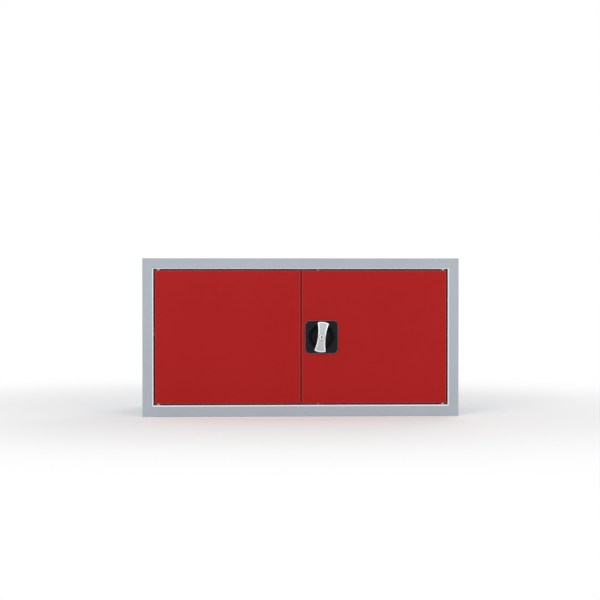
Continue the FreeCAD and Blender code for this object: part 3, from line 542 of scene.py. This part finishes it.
def rod(name: str, radius: float, centre: Vector, near: float, far: float, sides: int = 64) -> Object:
    """Add a round bar that runs from the front towards the back.

    Args:
        name: The piece's name.
        radius: Its radius.
        centre: A point on its axis.
        near: The front end's depth.
        far: The rear end's depth.
        sides: How many flats the round is made of.

    Returns:
        The bar.
    """
    middle = (centre.x, (near + far) / 2, centre.z)
    bpy.ops.mesh.primitive_cylinder_add(vertices=sides, radius=radius, depth=far - near, location=middle,
                                        rotation=(math.pi / 2, 0, 0))
    return keep_new(name)


def bar(name: str, centre: Vector, half: float, near: float, far: float, down: float, up: float) -> Object:
    """Add a square-edged bar that runs from the front towards the back.

    Args:
        name: The piece's name.
        centre: A point on its axis.
        half: How far it reaches to either side of the axis.
        near: The front end's depth.
        far: The rear end's depth.
        down: How far it reaches below the axis.
        up: How far it reaches above the axis.

    Returns:
        The bar.
    """
    middle = (centre.x, (near + far) / 2, centre.z + (up - down) / 2)
    bpy.ops.mesh.primitive_cube_add(size=1, location=middle, scale=(2 * half, far - near, down + up))
    return keep_new(name)


def turned(name: str, centre: Vector, rings: list[tuple[float, float]], sides: int = 64) -> Object:
    """Turn a solid about a front-to-back axis, extruding a disc from ring to ring.

    Args:
        name: The piece's name.
        centre: A point on the axis.
        rings: Radius and depth of each ring, in order.
        sides: How many flats the round is made of.

    Returns:
        The closed solid.
    """
    radius, depth = rings[0]
    bpy.ops.mesh.primitive_circle_add(vertices=sides, radius=radius, fill_type="NGON",
                                      location=(centre.x, depth, centre.z), rotation=(math.pi / 2, 0, 0))
    piece = keep_new(name)
    bpy.ops.object.mode_set(mode="EDIT")
    bpy.ops.mesh.select_all(action="SELECT")
    for next_radius, next_depth in rings[1:]:
        step = (0, next_depth - depth, 0)
        bpy.ops.mesh.extrude_region_move(TRANSFORM_OT_translate={"value": step})
        share = next_radius / radius
        bpy.ops.transform.resize(value=(share, 1, share), center_override=(centre.x, next_depth, centre.z))
        radius, depth = next_radius, next_depth
    bpy.ops.object.mode_set(mode="OBJECT")
    face_outwards(piece)
    return piece


def pick_edges(piece: Object, test: Callable[[Vector, Vector], bool], crease: float = 0) -> None:
    """Open a piece in edit mode with only the wanted edges selected.

    Args:
        piece: The object to open.
        test: Takes an edge's two ends and says whether it is wanted.
        crease: The least angle between the two faces at an edge, or nothing for every edge.
    """
    activate(piece)
    bpy.ops.object.mode_set(mode="EDIT")
    bpy.ops.mesh.select_mode(type="EDGE")
    bpy.ops.mesh.select_all(action="DESELECT")
    bpy.ops.object.mode_set(mode="OBJECT")
    mesh = piece.data
    sides: dict[tuple[int, int], list[Vector]] = {}
    for face in mesh.polygons:
        for key in face.edge_keys:
            sides.setdefault(key, []).append(face.normal)
    for edge in mesh.edges:
        start, end = (mesh.vertices[index].co for index in edge.vertices)
        likeness = sides[edge.key][0].dot(sides[edge.key][-1])
        edge.select = test(start, end) and (not crease or likeness < math.cos(crease))
    bpy.ops.object.mode_set(mode="EDIT")


def face_outwards(piece: Object, merge: float = DOUBLE) -> None:
    """Merge doubles and turn every face outwards.

    Args:
        piece: The object to clean.
        merge: How near two points are to become one.
    """
    activate(piece)
    bpy.ops.object.mode_set(mode="EDIT")
    bpy.ops.mesh.select_all(action="SELECT")
    bpy.ops.mesh.remove_doubles(threshold=merge)
    bpy.ops.mesh.normals_make_consistent(inside=False)
    bpy.ops.object.mode_set(mode="OBJECT")


def combine(piece: Object, others: Iterable[Object], cut: Cut) -> None:
    """Cut or join other solids with a piece and remove them.

    Args:
        piece: The solid that stays.
        others: The solids that are used up.
        cut: Whether they are joined or subtracted.
    """
    for other in others:
        activate(piece)
        modifier = piece.modifiers.new("shape", "BOOLEAN")
        modifier.operation = cut.value
        modifier.solver = "EXACT"
        modifier.object = other
        bpy.ops.object.modifier_apply(modifier=modifier.name)
        bpy.data.objects.remove(other)


def bevel(piece: Object, width: float, segments: int, test: Callable[[Vector, Vector], bool]) -> None:
    """Round the sharp edges that pass a test.

    Args:
        piece: The object to work on.
        width: How far the rounding reaches from the edge.
        segments: How many steps the rounding has.
        test: Takes an edge's two ends and says whether it is rounded.
    """
    pick_edges(piece, test, CREASE)
    bpy.ops.mesh.bevel(offset=width, segments=segments, profile=0.5, affect="EDGES", clamp_overlap=False)
    bpy.ops.object.mode_set(mode="OBJECT")


def complete(piece: Object, merge: float = DOUBLE) -> Object:
    """Clean a finished piece and shade it smooth but for its sharp edges.

    Args:
        piece: The piece.
        merge: How near two points are to become one.

    Returns:
        The same piece.
    """
    face_outwards(piece, merge)
    bpy.ops.object.shade_smooth_by_angle(angle=CRISP)
    return piece


def hand_over(piece: Object, body: Body, node: str) -> None:
    """Put a finished piece on its body and say what it stands for.

    Args:
        piece: The finished piece.
        body: The body that it moves with.
        node: The solid that it replaces.
    """
    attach(piece, body.value)
    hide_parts(node)
    log.info("%s rides on %s, %d faces", piece.name, body.value, len(piece.data.polygons))


@dataclass
class Wardrobe:
    """All finishes of the cabinet, by the record's slot."""

    opening: FrontEdge
    doors: FrontEdge
    plate: FrontEdge
    back_welds: WeldRow
    door_welds: WeldRow
    dish_depth: float = 12 * MM

    def finishes(self) -> dict[Slot, Finish]:
        """Choose the finish for each slot.

        Returns:
            The finishes by slot.
        """
        return {
            # The third colour of each powder coat is the painted highlight along its front folds.
            Slot.GREY: PowderCoat(
                "grey_powder_coat_steel", "#AEB5BD", "#B1B8C0", "#F8FCFF", highlight_share=0.9, edge=self.opening,
                welds=self.back_welds, roughness=0.46, gloss=0.25),
            Slot.RED: PowderCoat(
                "red_powder_coat_steel", "#A81615", "#AB1818", "#B2524F", highlight_share=0.6, edge=self.doors,
                welds=self.door_welds, roughness=0.44, gloss=0.16),
            Slot.GALVANISED: GalvanisedSheet("galvanised_spangle_steel"),
            Slot.ZINC: PlatedMetal("zinc_plated_steel_clear", "#C9CDD3", "#D6D3C6", roughness=0.3),
            # The plate gets a pale painted highlight along its outer edge and near-black painted shade on its dish
            # floor.
            Slot.PLASTIC: EdgedMoulding(
                "black_grained_abs", "#0E1014", "#1C1E25", roughness=0.5, gloss=0.16, grain_mm=1.4,
                grain_depth_mm=0.12, edge_highlight="#6E6768", edge=self.plate, dish_shade="#090A0D",
                dish_depth=self.dish_depth),
            Slot.HANDLE: CastMetal(
                "satin_cast_zinc_rim", "#EEF0F3", "#FAFBFD", roughness=0.34, cloud_mm=0.9, mark_mm=0.9),
            Slot.NICKEL: PlatedMetal(
                "nickel_plated_brass", "#EFEDE6", "#E2DED2", roughness=0.2, cloud_mm=6.0, mark_mm=0.8),
            # The nylon is drawn greyer than its own ivory, painted shade for the hinge gaps that it sits in.
            Slot.NYLON: Moulded(
                "nylon_darkened_for_shade", "#B5B2AC", "#C8C5BF", roughness=0.45, gloss=0.4, grain_mm=1.5, grain_depth_mm=0.03),
            Slot.RUBBER: Moulded(
                "black_moulded_rubber", "#17171A", "#2A2A2D", roughness=0.7, gloss=0.2, grain_mm=1.0,
                grain_depth_mm=0.05),
        }


@dataclass
class CabinetShell:
    """The pieces carried over from the solids, dressed in their finishes."""

    finishes: dict[Slot, Finish]

    def dress(self) -> None:
        """Give every carried-over node the finish of its slot."""
        for name, node in frame["nodes"].items():
            slot = Slot(node.data.materials[0].name)
            node.data.materials[0] = self.finishes[slot].material()
            log.info("%s dressed in %s", name, slot.value)


@dataclass
class DoorHandle:
    """The cast handle: a waisted grip with a raised rim on a hub, a journal and a drive square."""

    axis: Vector
    face: float
    end: float
    barrel_end: float
    bolt: tuple[float, float]
    ring: tuple[float, float]
    reach: float = 48 * MM
    half_end: float = 18 * MM
    half_waist: float = 12 * MM
    thickness: float = 9 * MM
    corner: float = 1.6 * MM
    edge: float = 0.9 * MM
    mouth: float = 0.3 * MM
    rim: float = 4 * MM
    pocket: float = 1.5 * MM
    boss: float = 11 * MM
    bore: float = 8.55 * MM
    groove: float = 10.6 * MM
    groove_depth: float = 1.2 * MM
    hub: float = 11.5 * MM
    hub_end: float = 25.7 * MM
    bolt_half: float = 5.55 * MM
    bolt_tail: float = 5.3 * MM
    cam_room: float = 4.33 * MM
    ring_seat: float = 6 * MM
    fit: float = 0.05 * MM
    journal: float = 7 * MM
    journal_end: float = 29.15 * MM
    square: float = 5 * MM
    crown: float = 3.2 * MM
    crown_steps: int = 12
    outline_sides: int = 192
    hollow_sides: int = 720
    boss_sides: int = 96
    hub_overlap: float = 2 * MM
    sliver: float = 0.02 * MM
    merge: float = 0.05 * MM
    sunk: float = 0.1 * MM
    facing: float = 0.9

    def build(self) -> Object:
        """Model the handle upright, then lean it to its resting angle.

        Returns:
            The finished mesh.
        """
        grip = self.waisted("door_handle", 0, self.face, self.face + self.thickness)
        self.sink_pocket(grip)
        self.soften(grip)
        self.crown_face(grip)
        self.add_shaft(grip)
        self.hollow(grip)
        lean = Matrix.Rotation(LEAN, 4, "Y")
        home = Matrix.Translation(self.axis)
        grip.data.transform(home @ lean @ home.inverted())
        return complete(grip, self.sliver)

    def side_radius(self) -> float:
        """Return the radius of the grip's hollow sides."""
        bow = self.half_end - self.half_waist
        return (self.reach ** 2 - self.half_end ** 2 + bow ** 2) / (2 * bow)

    def waisted(self, name: str, shrink: float, near: float, far: float) -> Object:
        """Make a slab in the grip's outline, a disc hollowed from both sides.

        Args:
            name: The slab's name.
            shrink: How far inside the grip's outline it stays.
            near: The front's depth.
            far: The back's depth.

        Returns:
            The slab, with rounded tips.
        """
        outer = self.reach - shrink
        side_middle = self.half_waist + self.side_radius()
        side_radius = self.side_radius() + shrink
        slab = rod(name, outer, self.axis, near, far, self.outline_sides)
        cutters = []
        for side in (-1, 1):
            middle = self.axis + Vector((side * side_middle, 0, 0))
            cutters.append(rod("side_cut", side_radius, middle, near - MM, far + MM, self.hollow_sides))
        combine(slab, cutters, Cut.SUBTRACT)
        face_outwards(slab)
        tip_x = (outer ** 2 + side_middle ** 2 - side_radius ** 2) / (2 * side_middle)
        tip = Vector((tip_x, math.sqrt(outer ** 2 - tip_x ** 2)))

        def from_tip(a: Vector, b: Vector) -> float:
            """Measure how far an upright edge stands from the nearest tip.

            Args:
                a: One end.
                b: The other end.

            Returns:
                The distance, or a long way for an edge that isn't upright.
            """
            if abs(a.y - b.y) < (far - near) / 2:
                return self.reach
            return (Vector((abs(a.x - self.axis.x), abs(a.z - self.axis.z))) - tip).length

        pick_edges(slab, lambda a, b: self.sliver < from_tip(a, b) < 2 * self.corner)
        bpy.ops.mesh.dissolve_edges(use_verts=True)
        bpy.ops.object.mode_set(mode="OBJECT")
        bevel(slab, self.corner, segments=4, test=lambda a, b: from_tip(a, b) < self.sliver)
        return slab

    def on_face(self, place: Vector) -> bool:
        """Say whether a point lies on the front face."""
        return abs(place.y - self.face) < HAIR

    def within_rim(self, place: Vector) -> bool:
        """Say whether a point is nearer to the pocket than to the grip's outline.

        Args:
            place: The point.

        Returns:
            True inside the middle of the rim.
        """
        across, up = abs(place.x - self.axis.x), place.z - self.axis.z
        from_side = math.hypot(self.half_waist + self.side_radius() - across, up) - self.side_radius()
        return min(from_side, self.reach - math.hypot(across, up)) > self.rim / 2

    def sink_pocket(self, grip: Object) -> None:
        """Sink a field above and one below the round boss, inside the rim.

        Args:
            grip: The waisted slab.
        """
        fields = self.waisted("fields", self.rim, self.face - self.pocket, self.face + self.pocket)
        boss = rod("boss", self.boss, self.axis, self.face - self.thickness, self.face + self.thickness,
                   self.boss_sides)
        combine(fields, [boss], Cut.SUBTRACT)
        combine(grip, [fields], Cut.SUBTRACT)
        face_outwards(grip, self.merge)

    def soften(self, grip: Object) -> None:
        """Round the rim's edges as casting and polishing leave them.

        Args:
            grip: The grip with its pocket.
        """
        for width, segments, inner in ((self.edge, 3, False), (self.mouth, 2, True)):
            bevel(grip, width, segments,
                  lambda a, b: self.on_face(a) and self.on_face(b) and self.within_rim(a) is inner)

    def crown_face(self, grip: Object) -> None:
        """Let the front fall away a little towards both ends.

        Args:
            grip: The grip with its rounded rim.
        """
        activate(grip)
        bpy.ops.object.mode_set(mode="EDIT")
        bpy.ops.mesh.select_mode(type="FACE")
        for index in range(1, self.crown_steps):
            height = self.axis.z + self.reach * (2 * index / self.crown_steps - 1)
            bpy.ops.mesh.select_all(action="SELECT")
            bpy.ops.mesh.bisect(plane_co=(0, 0, height), plane_no=(0, 0, 1))
        bpy.ops.object.mode_set(mode="OBJECT")
        back = self.face + self.thickness
        for vertex in grip.data.vertices:
            share = (back - vertex.co.y) / self.thickness
            fall = self.crown * ((vertex.co.z - self.axis.z) / self.reach) ** 2
            vertex.co.y += fall * max(0.0, share)

    def add_shaft(self, grip: Object) -> None:
        """Join the hub, journal and drive square behind the grip.

        Args:
            grip: The crowned grip.
        """
        hub_start, hub_end = self.face + self.thickness - self.hub_overlap, self.face + self.hub_end
        neck, neck_end = self.ring
        shaft = turned("hub", self.axis, [
            (self.hub, hub_start), (self.hub, hub_end), (self.journal, hub_end + HAIR),
            (self.journal, neck - self.fit), (self.ring_seat, neck - self.fit + HAIR),
            (self.ring_seat, neck_end + self.fit - HAIR), (self.journal, neck_end + self.fit),
            (self.journal, self.face + self.journal_end)])
        half = self.square / 2
        drive = bar("drive", self.axis, half, hub_end, self.end, half, half)
        combine(grip, [shaft, drive], Cut.JOIN)

    def hollow(self, grip: Object) -> None:
        """Bore the hub for the cylinder and mill the channel for the bolt behind it.

        Args:
            grip: The grip with its shaft.
        """
        bolt_near, bolt_far = self.bolt
        bore = rod("bore", self.bore, self.axis, self.face - self.thickness, self.barrel_end + self.fit)
        groove = rod("groove", self.groove, self.axis, self.face - self.thickness, self.face + self.groove_depth)
        cam = rod("cam", self.cam_room, self.axis, self.barrel_end, bolt_far)
        channel = bar("channel", self.axis, self.bolt_half, bolt_near - self.fit, bolt_far + self.fit,
                      2 * self.hub, self.bolt_tail)
        combine(grip, [bore, groove, cam, channel], Cut.SUBTRACT)

    def dress(self, grip: Object, rim: Finish, field: Finish, seam: Finish) -> None:
        """Polish the rim, leave the pocket floors blasted and paint the groove round the cylinder near black as
        painted shade.

        Args:
            grip: The finished mesh.
            rim: The finish of the grip.
            field: The finish of the pocket floors.
            seam: The near-black finish painted inside the groove as shade.
        """
        grip.data.materials.clear()
        for finish in (rim, field, seam):
            grip.data.materials.append(finish.material())
        field_index, seam_index = 1, 2
        for face in grip.data.polygons:
            corners = [grip.data.vertices[index].co for index in face.vertices]
            from_axis = max(Vector((corner.x - self.axis.x, corner.z - self.axis.z)).length for corner in corners)
            depth = self.flat_depth(face.center) - self.face
            if from_axis < self.groove + self.merge and depth > self.sunk:
                face.material_index = seam_index
            elif abs(depth - self.pocket) < 2 * self.sunk and face.normal.y < -self.facing:
                face.material_index = field_index

    def flat_depth(self, place: Vector) -> float:
        """Return the depth that a point of the leaning grip had before the front was crowned.

        Args:
            place: The point.

        Returns:
            Its depth on the flat slab.
        """
        across, up = place.x - self.axis.x, place.z - self.axis.z
        along = across * math.sin(LEAN) + up * math.cos(LEAN)
        fall = self.crown * (along / self.reach) ** 2
        back = self.face + self.thickness
        return back - (back - place.y) / (1 - fall / self.thickness)


@dataclass
class LockCylinder:
    """The lock cylinder in the handle: its ring and the turning plug with the keyway."""

    axis: Vector
    face: float
    plug_face: float
    ring_end: float
    pin_end: float
    ring: float = 9.5 * MM
    barrel: float = 8.5 * MM
    plug: float = 7 * MM
    running: float = 0.06 * MM
    flange: float = 1.0 * MM
    keyway_half: float = 1.5 * MM
    keyway_reach: float = 5.4 * MM
    heart: float = 2.1 * MM
    heart_up: float = 1.0 * MM
    keyway_depth: float = 14 * MM
    pin: float = 1.2 * MM
    pin_offset: float = 2 * MM
    ring_chamfer: float = 0.5 * MM
    plug_chamfer: float = 0.35 * MM
    sides: int = 96
    heart_sides: int = 32
    pin_sides: int = 24
    core_share: float = 0.9

    def build_ring(self) -> Object:
        """Turn the barrel with its chamfered flange.

        Returns:
            The finished mesh.
        """
        seat = self.face + self.flange
        ring = turned("cylinder_ring", self.axis, [
            (self.ring - self.ring_chamfer, self.face), (self.ring, self.face + self.ring_chamfer),
            (self.ring, seat), (self.barrel, seat + HAIR), (self.barrel, self.ring_end)], self.sides)
        bore = rod("bore", self.plug + self.running, self.axis, self.face - self.flange,
                   self.ring_end + self.flange, self.sides)
        combine(ring, [bore], Cut.SUBTRACT)
        return complete(ring)

    def build_plug(self) -> Object:
        """Turn the plug, cut its warded keyway and set the cam pin in its tail.

        Returns:
            The finished mesh.
        """
        plug = turned("cylinder_plug", self.axis, [
            (self.plug - self.plug_chamfer, self.plug_face), (self.plug, self.plug_face + self.plug_chamfer),
            (self.plug, self.plug_end())], self.sides)
        near = self.plug_face - self.plug_chamfer
        far = self.plug_face + self.keyway_depth
        slot = bar("slot", self.axis, self.keyway_half, near, far, self.keyway_reach, self.keyway_reach)
        heart = rod("heart", self.heart, self.axis + Vector((0, 0, self.heart_up)), near, far, self.heart_sides)
        combine(plug, [slot, heart], Cut.SUBTRACT)
        lean = Matrix.Rotation(LEAN, 4, "Y")
        offset = lean @ Vector((self.pin_offset, 0, self.pin_offset))
        pin = rod("pin", self.pin, self.axis + offset, self.plug_end() - self.flange, self.pin_end, self.pin_sides)
        combine(plug, [pin], Cut.JOIN)
        return complete(plug)

    def plug_end(self) -> float:
        """Return the depth of the plug's tail, just inside the barrel."""
        return self.ring_end - self.running

    def dress_plug(self, plug: Object, skin: Finish, inside: Finish) -> None:
        """Plate the plug and paint the inside of its keyway near black as painted shade.

        Args:
            plug: The finished mesh.
            skin: The finish of the plug.
            inside: The near-black finish painted on the keyway's walls as shade.
        """
        plug.data.materials.append(skin.material())
        plug.data.materials.append(inside.material())
        for face in plug.data.polygons:
            from_axis = Vector((face.center.x - self.axis.x, face.center.z - self.axis.z))
            deep = self.plug_face + self.running < face.center.y < self.plug_end() - self.flange
            if deep and from_axis.length < self.core_share * self.plug:
                face.material_index = 1


@dataclass
class CrossScrews:
    """A set of four pan-head screws with cross recesses, seen from behind the door."""

    name: str
    low: Vector
    high: Vector
    head: float = 4 * MM
    head_height: float = 2.2 * MM
    shank: float = 1.6 * MM
    recess: float = 2.4 * MM
    recess_half: float = 0.45 * MM
    recess_depth: float = 1.2 * MM
    # Radius and height of the head's outer rings, as shares of its own.
    dome: tuple[tuple[float, float], ...] = ((1, 0.5), (0.8, 0.85), (0.45, 1))
    sides: int = 32

    def build(self) -> Object:
        """Model one screw, cut its cross and repeat it at the set's four corners.

        Returns:
            The set as one mesh.
        """
        first = self.low + Vector((self.head, 0, self.head))
        last = self.high - Vector((self.head, 0, self.head))
        top = self.high.y
        seat = top - self.head_height
        screw = turned(self.name, first, [
            (self.shank, self.low.y), (self.shank, seat), (self.head, seat + HAIR),
            *((share * self.head, seat + rise * self.head_height) for share, rise in self.dome)], self.sides)
        cross = [bar("cross", first, wide, top - self.recess_depth, top + MM, tall, tall)
                 for wide, tall in ((self.recess, self.recess_half), (self.recess_half, self.recess))]
        combine(screw, cross, Cut.SUBTRACT)
        complete(screw)
        span = last - first
        for step in ((span.x, 0, 0), (0, 0, span.z)):
            modifier = screw.modifiers.new("pair", "ARRAY")
            modifier.use_relative_offset, modifier.use_constant_offset = False, True
            modifier.constant_offset_displace = step
            bpy.ops.object.modifier_apply(modifier=modifier.name)
        return screw


@dataclass(frozen=True)
class Softbox:
    """One large soft lamp that faces the cabinet; its power is in watts."""

    name: str
    place: tuple[float, float, float]
    size: tuple[float, float]
    power: float
    mirrored: bool = True

    def hang(self, aim: Vector) -> None:
        """Hang the lamp and turn it to the cabinet.

        Args:
            aim: The point that it faces.
        """
        data = bpy.data.lights.new(self.name, "AREA")
        data.shape = "RECTANGLE"
        data.size, data.size_y = self.size
        data.energy = self.power
        lamp = bpy.data.objects.new(self.name, data)
        lamp.location = self.place
        lamp.rotation_euler = (aim - lamp.location).to_track_quat("-Z", "Y").to_euler()
        lamp.visible_glossy = self.mirrored
        bpy.context.scene.collection.objects.link(lamp)


# The lamps stand to the sides and above, so that none of them shines straight into the gaps round the doors.
# The right one stands for the room's light, so bright metal mirrors the white room instead of it.
LAMPS = (Softbox("left", (-1.9, -3.7, 2.7), (2.4, 1.8), 48.0),
         Softbox("right", (2.3, -4.4, 1.7), (3.0, 1.6), 44.0, False),
         Softbox("back", (1.4, 3.8, 2.2), (2.4, 1.8), 40.0))


@dataclass
class Studio:
    """The floor, the light and the camera."""

    place: Vector = Vector((-0.208, -5.21, 0.4392))
    aim: Vector = Vector((-0.0035, -0.21, 0.3684))
    lens: float = 95.1
    sensor: float = 36.0
    floor_size: float = 60.0
    floor_tone: str = "#F6F6F6"
    floor_lift: float = 0.1
    fade_from: float = 0.7
    fade_to: float = 2.0
    ambient: float = 0.6

    def build(self) -> None:
        """Make the floor, the surroundings, the lamps and the camera."""
        self.make_floor()
        self.make_world()
        for lamp in LAMPS:
            lamp.hang(self.aim)
        self.make_camera()

    def make_floor(self) -> None:
        """Lay a wide white floor that keeps the cabinet's shadow."""
        bpy.ops.mesh.primitive_plane_add(size=self.floor_size)
        floor = keep_new("floor")
        material = bpy.data.materials.new("matt_white_floor")
        material.use_nodes = True
        tree = material.node_tree
        tree.nodes.remove(tree.nodes["Principled BSDF"])
        away = add_node(tree, "VectorMath", {0: add_node(tree, "TexCoord")["Object"]}, operation="LENGTH")
        fade = add_node(tree, "MapRange", {0: away["Value"], 1: self.fade_from, 2: self.fade_to},
                        interpolation_type="SMOOTHSTEP")
        seen = self.seen_share(tree)
        share = add_node(tree, "Math", {0: fade[0], 1: seen}, operation="MULTIPLY")
        matt = add_node(tree, "BsdfDiffuse", {"Color": linear(self.floor_tone)})
        # A little white is added where the floor is seen, so that it reads as paper white around the shadow.
        lift = add_node(tree, "Math", {0: seen, 1: self.floor_lift}, operation="MULTIPLY")
        glow = add_node(tree, "Emission", {"Color": linear(WHITE), "Strength": lift[0]})
        paper = add_node(tree, "AddShader", {0: matt[0], 1: glow[0]})
        white = add_node(tree, "Emission", {"Color": linear(WHITE), "Strength": 1.0})
        mixed = add_node(tree, "MixShader", {0: share[0], 1: paper[0], 2: white[0]})
        feed(tree, tree.nodes["Material Output"], {"Surface": mixed[0]})
        floor.data.materials.append(material)
        floor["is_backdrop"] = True

    def seen_share(self, tree: NodeTree) -> NodeSocket:
        """Return 1 for rays that show the surroundings, straight, mirrored or through glass.

        Args:
            tree: The tree that asks.

        Returns:
            The share's socket.
        """
        path = add_node(tree, "LightPath")
        seen = path["Is Camera Ray"]
        for ray in ("Is Glossy Ray", "Is Transmission Ray"):
            seen = add_node(tree, "Math", {0: seen, 1: path[ray]}, operation="MAXIMUM")[0]
        return seen

    def make_world(self) -> None:
        """Surround the cabinet with white that lights it softly."""
        world = bpy.data.worlds.new("studio")
        world.use_nodes = True
        tree = world.node_tree
        strength = add_node(tree, "MapRange", {0: self.seen_share(tree), 3: self.ambient, 4: 1.0})
        feed(tree, tree.nodes["Background"], {"Color": linear(WHITE), "Strength": strength[0]})
        bpy.context.scene.world = world

    def make_camera(self) -> None:
        """Set the camera at the photograph's viewing angle."""
        data = bpy.data.cameras.new("camera")
        data.lens = self.lens
        data.sensor_width = self.sensor
        camera = bpy.data.objects.new("camera", data)
        camera.location = self.place
        camera.rotation_euler = (self.aim - self.place).to_track_quat("-Z", "Y").to_euler()
        bpy.context.scene.collection.objects.link(camera)
        bpy.context.scene.camera = camera
        bpy.context.scene.view_settings.view_transform = "Standard"


def build_lock(finishes: dict[Slot, Finish]) -> None:
    """Model the handle, the cylinder and the screws, and set them on their bodies.

    Args:
        finishes: The finish of each slot.
    """
    turn = next(joint for joint in frame["joints"] if joint["name"] == "handle_turn")
    axis = Vector((turn["pos_m"][0], 0, turn["pos_m"][2]))
    handle_low, handle_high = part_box("handle")
    ring_low, ring_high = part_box("lock_cylinder")
    plug_low, plug_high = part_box("key_plug")
    bolt, retainer = ((low.y, high.y) for low, high in (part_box("lock_bolt"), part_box("retaining_ring")))
    handle = DoorHandle(axis, handle_low.y, handle_high.y, ring_high.y, bolt, retainer)
    grip = handle.build()
    field = CastMetal("blasted_cast_zinc_field", "#B0B6BB", "#CDD3D9", roughness=0.46, cloud_mm=0.8,
                      mark_mm=0.8, pit_mm=0.05)
    # Painted shade: a near-black finish for the groove round the cylinder and the inside of the keyway.
    painted_shade = CastMetal("near_black_painted_shade", "#14110E", "#1E1B17", roughness=0.8, cloud_mm=1.0, mark_mm=1.0,
                     metallic=0.0)
    handle.dress(grip, finishes[Slot.HANDLE], field, painted_shade)
    hand_over(grip, Body.HANDLE, "handle")

    cylinder = LockCylinder(axis, ring_low.y, plug_low.y, ring_high.y, plug_high.y)
    ring = cylinder.build_ring()
    ring.data.materials.append(finishes[Slot.NICKEL].material())
    hand_over(ring, Body.HANDLE, "lock_cylinder")
    plug = cylinder.build_plug()
    cylinder.dress_plug(plug, finishes[Slot.NICKEL], painted_shade)
    hand_over(plug, Body.KEY_PLUG, "key_plug")

    for node, name in (("lock_plate_screws", "plate_cross_screws"), ("lock_case_screws", "case_cross_screws")):
        screws = CrossScrews(name, *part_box(node)).build()
        screws.data.materials.append(finishes[Slot.ZINC].material())
        hand_over(screws, Body.RIGHT_DOOR, node)


def find_marks() -> Wardrobe:
    """Find where the painted highlights along the front's folds and edges and the rows of welds run.

    Returns:
        The finishes that follow the edge of the opening, of the two doors and of the lock plate, and the welds.
    """
    low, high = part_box("right_door_panel")
    plate_low, plate_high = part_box("lock_plate")
    stiff_low, stiff_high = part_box("right_door_stiffener")
    gap_x, gap_z = 4.3 * MM, 4.8 * MM
    # The top fold faces down and catches less light, so its painted highlight sits a little lower, mostly out of
    # sight.
    top_highlight_drop = 2.0 * MM
    middle, half = (low + high) / 2, (high - low) / 2
    opening = FrontEdge(0, middle.z - top_highlight_drop / 2, high.x + gap_x, half.z + gap_z - top_highlight_drop / 2, low.y,
                        width=3.0 * MM, depth=0.4 * MM)
    doors = FrontEdge(middle.x, middle.z, half.x, half.z, low.y, width=2.0 * MM, depth=0.7 * MM)
    plate_middle, plate_half = (plate_low + plate_high) / 2, (plate_high - plate_low) / 2
    plate = FrontEdge(plate_middle.x, plate_middle.z, plate_half.x, plate_half.z, plate_low.y,
                      width=2.0 * MM, depth=2.0 * MM, corner=16 * MM)
    _, bounds_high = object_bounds()
    flange_middle, foot_middle, skin = 10 * MM, 6 * MM, 1.5 * MM
    back_welds = WeldRow(bounds_high.x - flange_middle, 0, bounds_high.y - skin, bounds_high.y + skin)
    stiff_middle, stiff_half = (stiff_low + stiff_high) / 2, (stiff_high - stiff_low) / 2
    door_welds = WeldRow(stiff_middle.x, stiff_half.x - foot_middle, stiff_low.y, stiff_low.y + 2 * skin)
    return Wardrobe(opening, doors, plate, back_welds, door_welds)


def main() -> None:
    """Build and dress the cabinet, then light it."""
    logging.basicConfig(level=logging.INFO, format="%(name)s: %(message)s")
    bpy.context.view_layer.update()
    finishes = find_marks().finishes()
    CabinetShell(finishes).dress()
    build_lock(finishes)
    Studio().build()


if __name__ == "__main__":
    main()
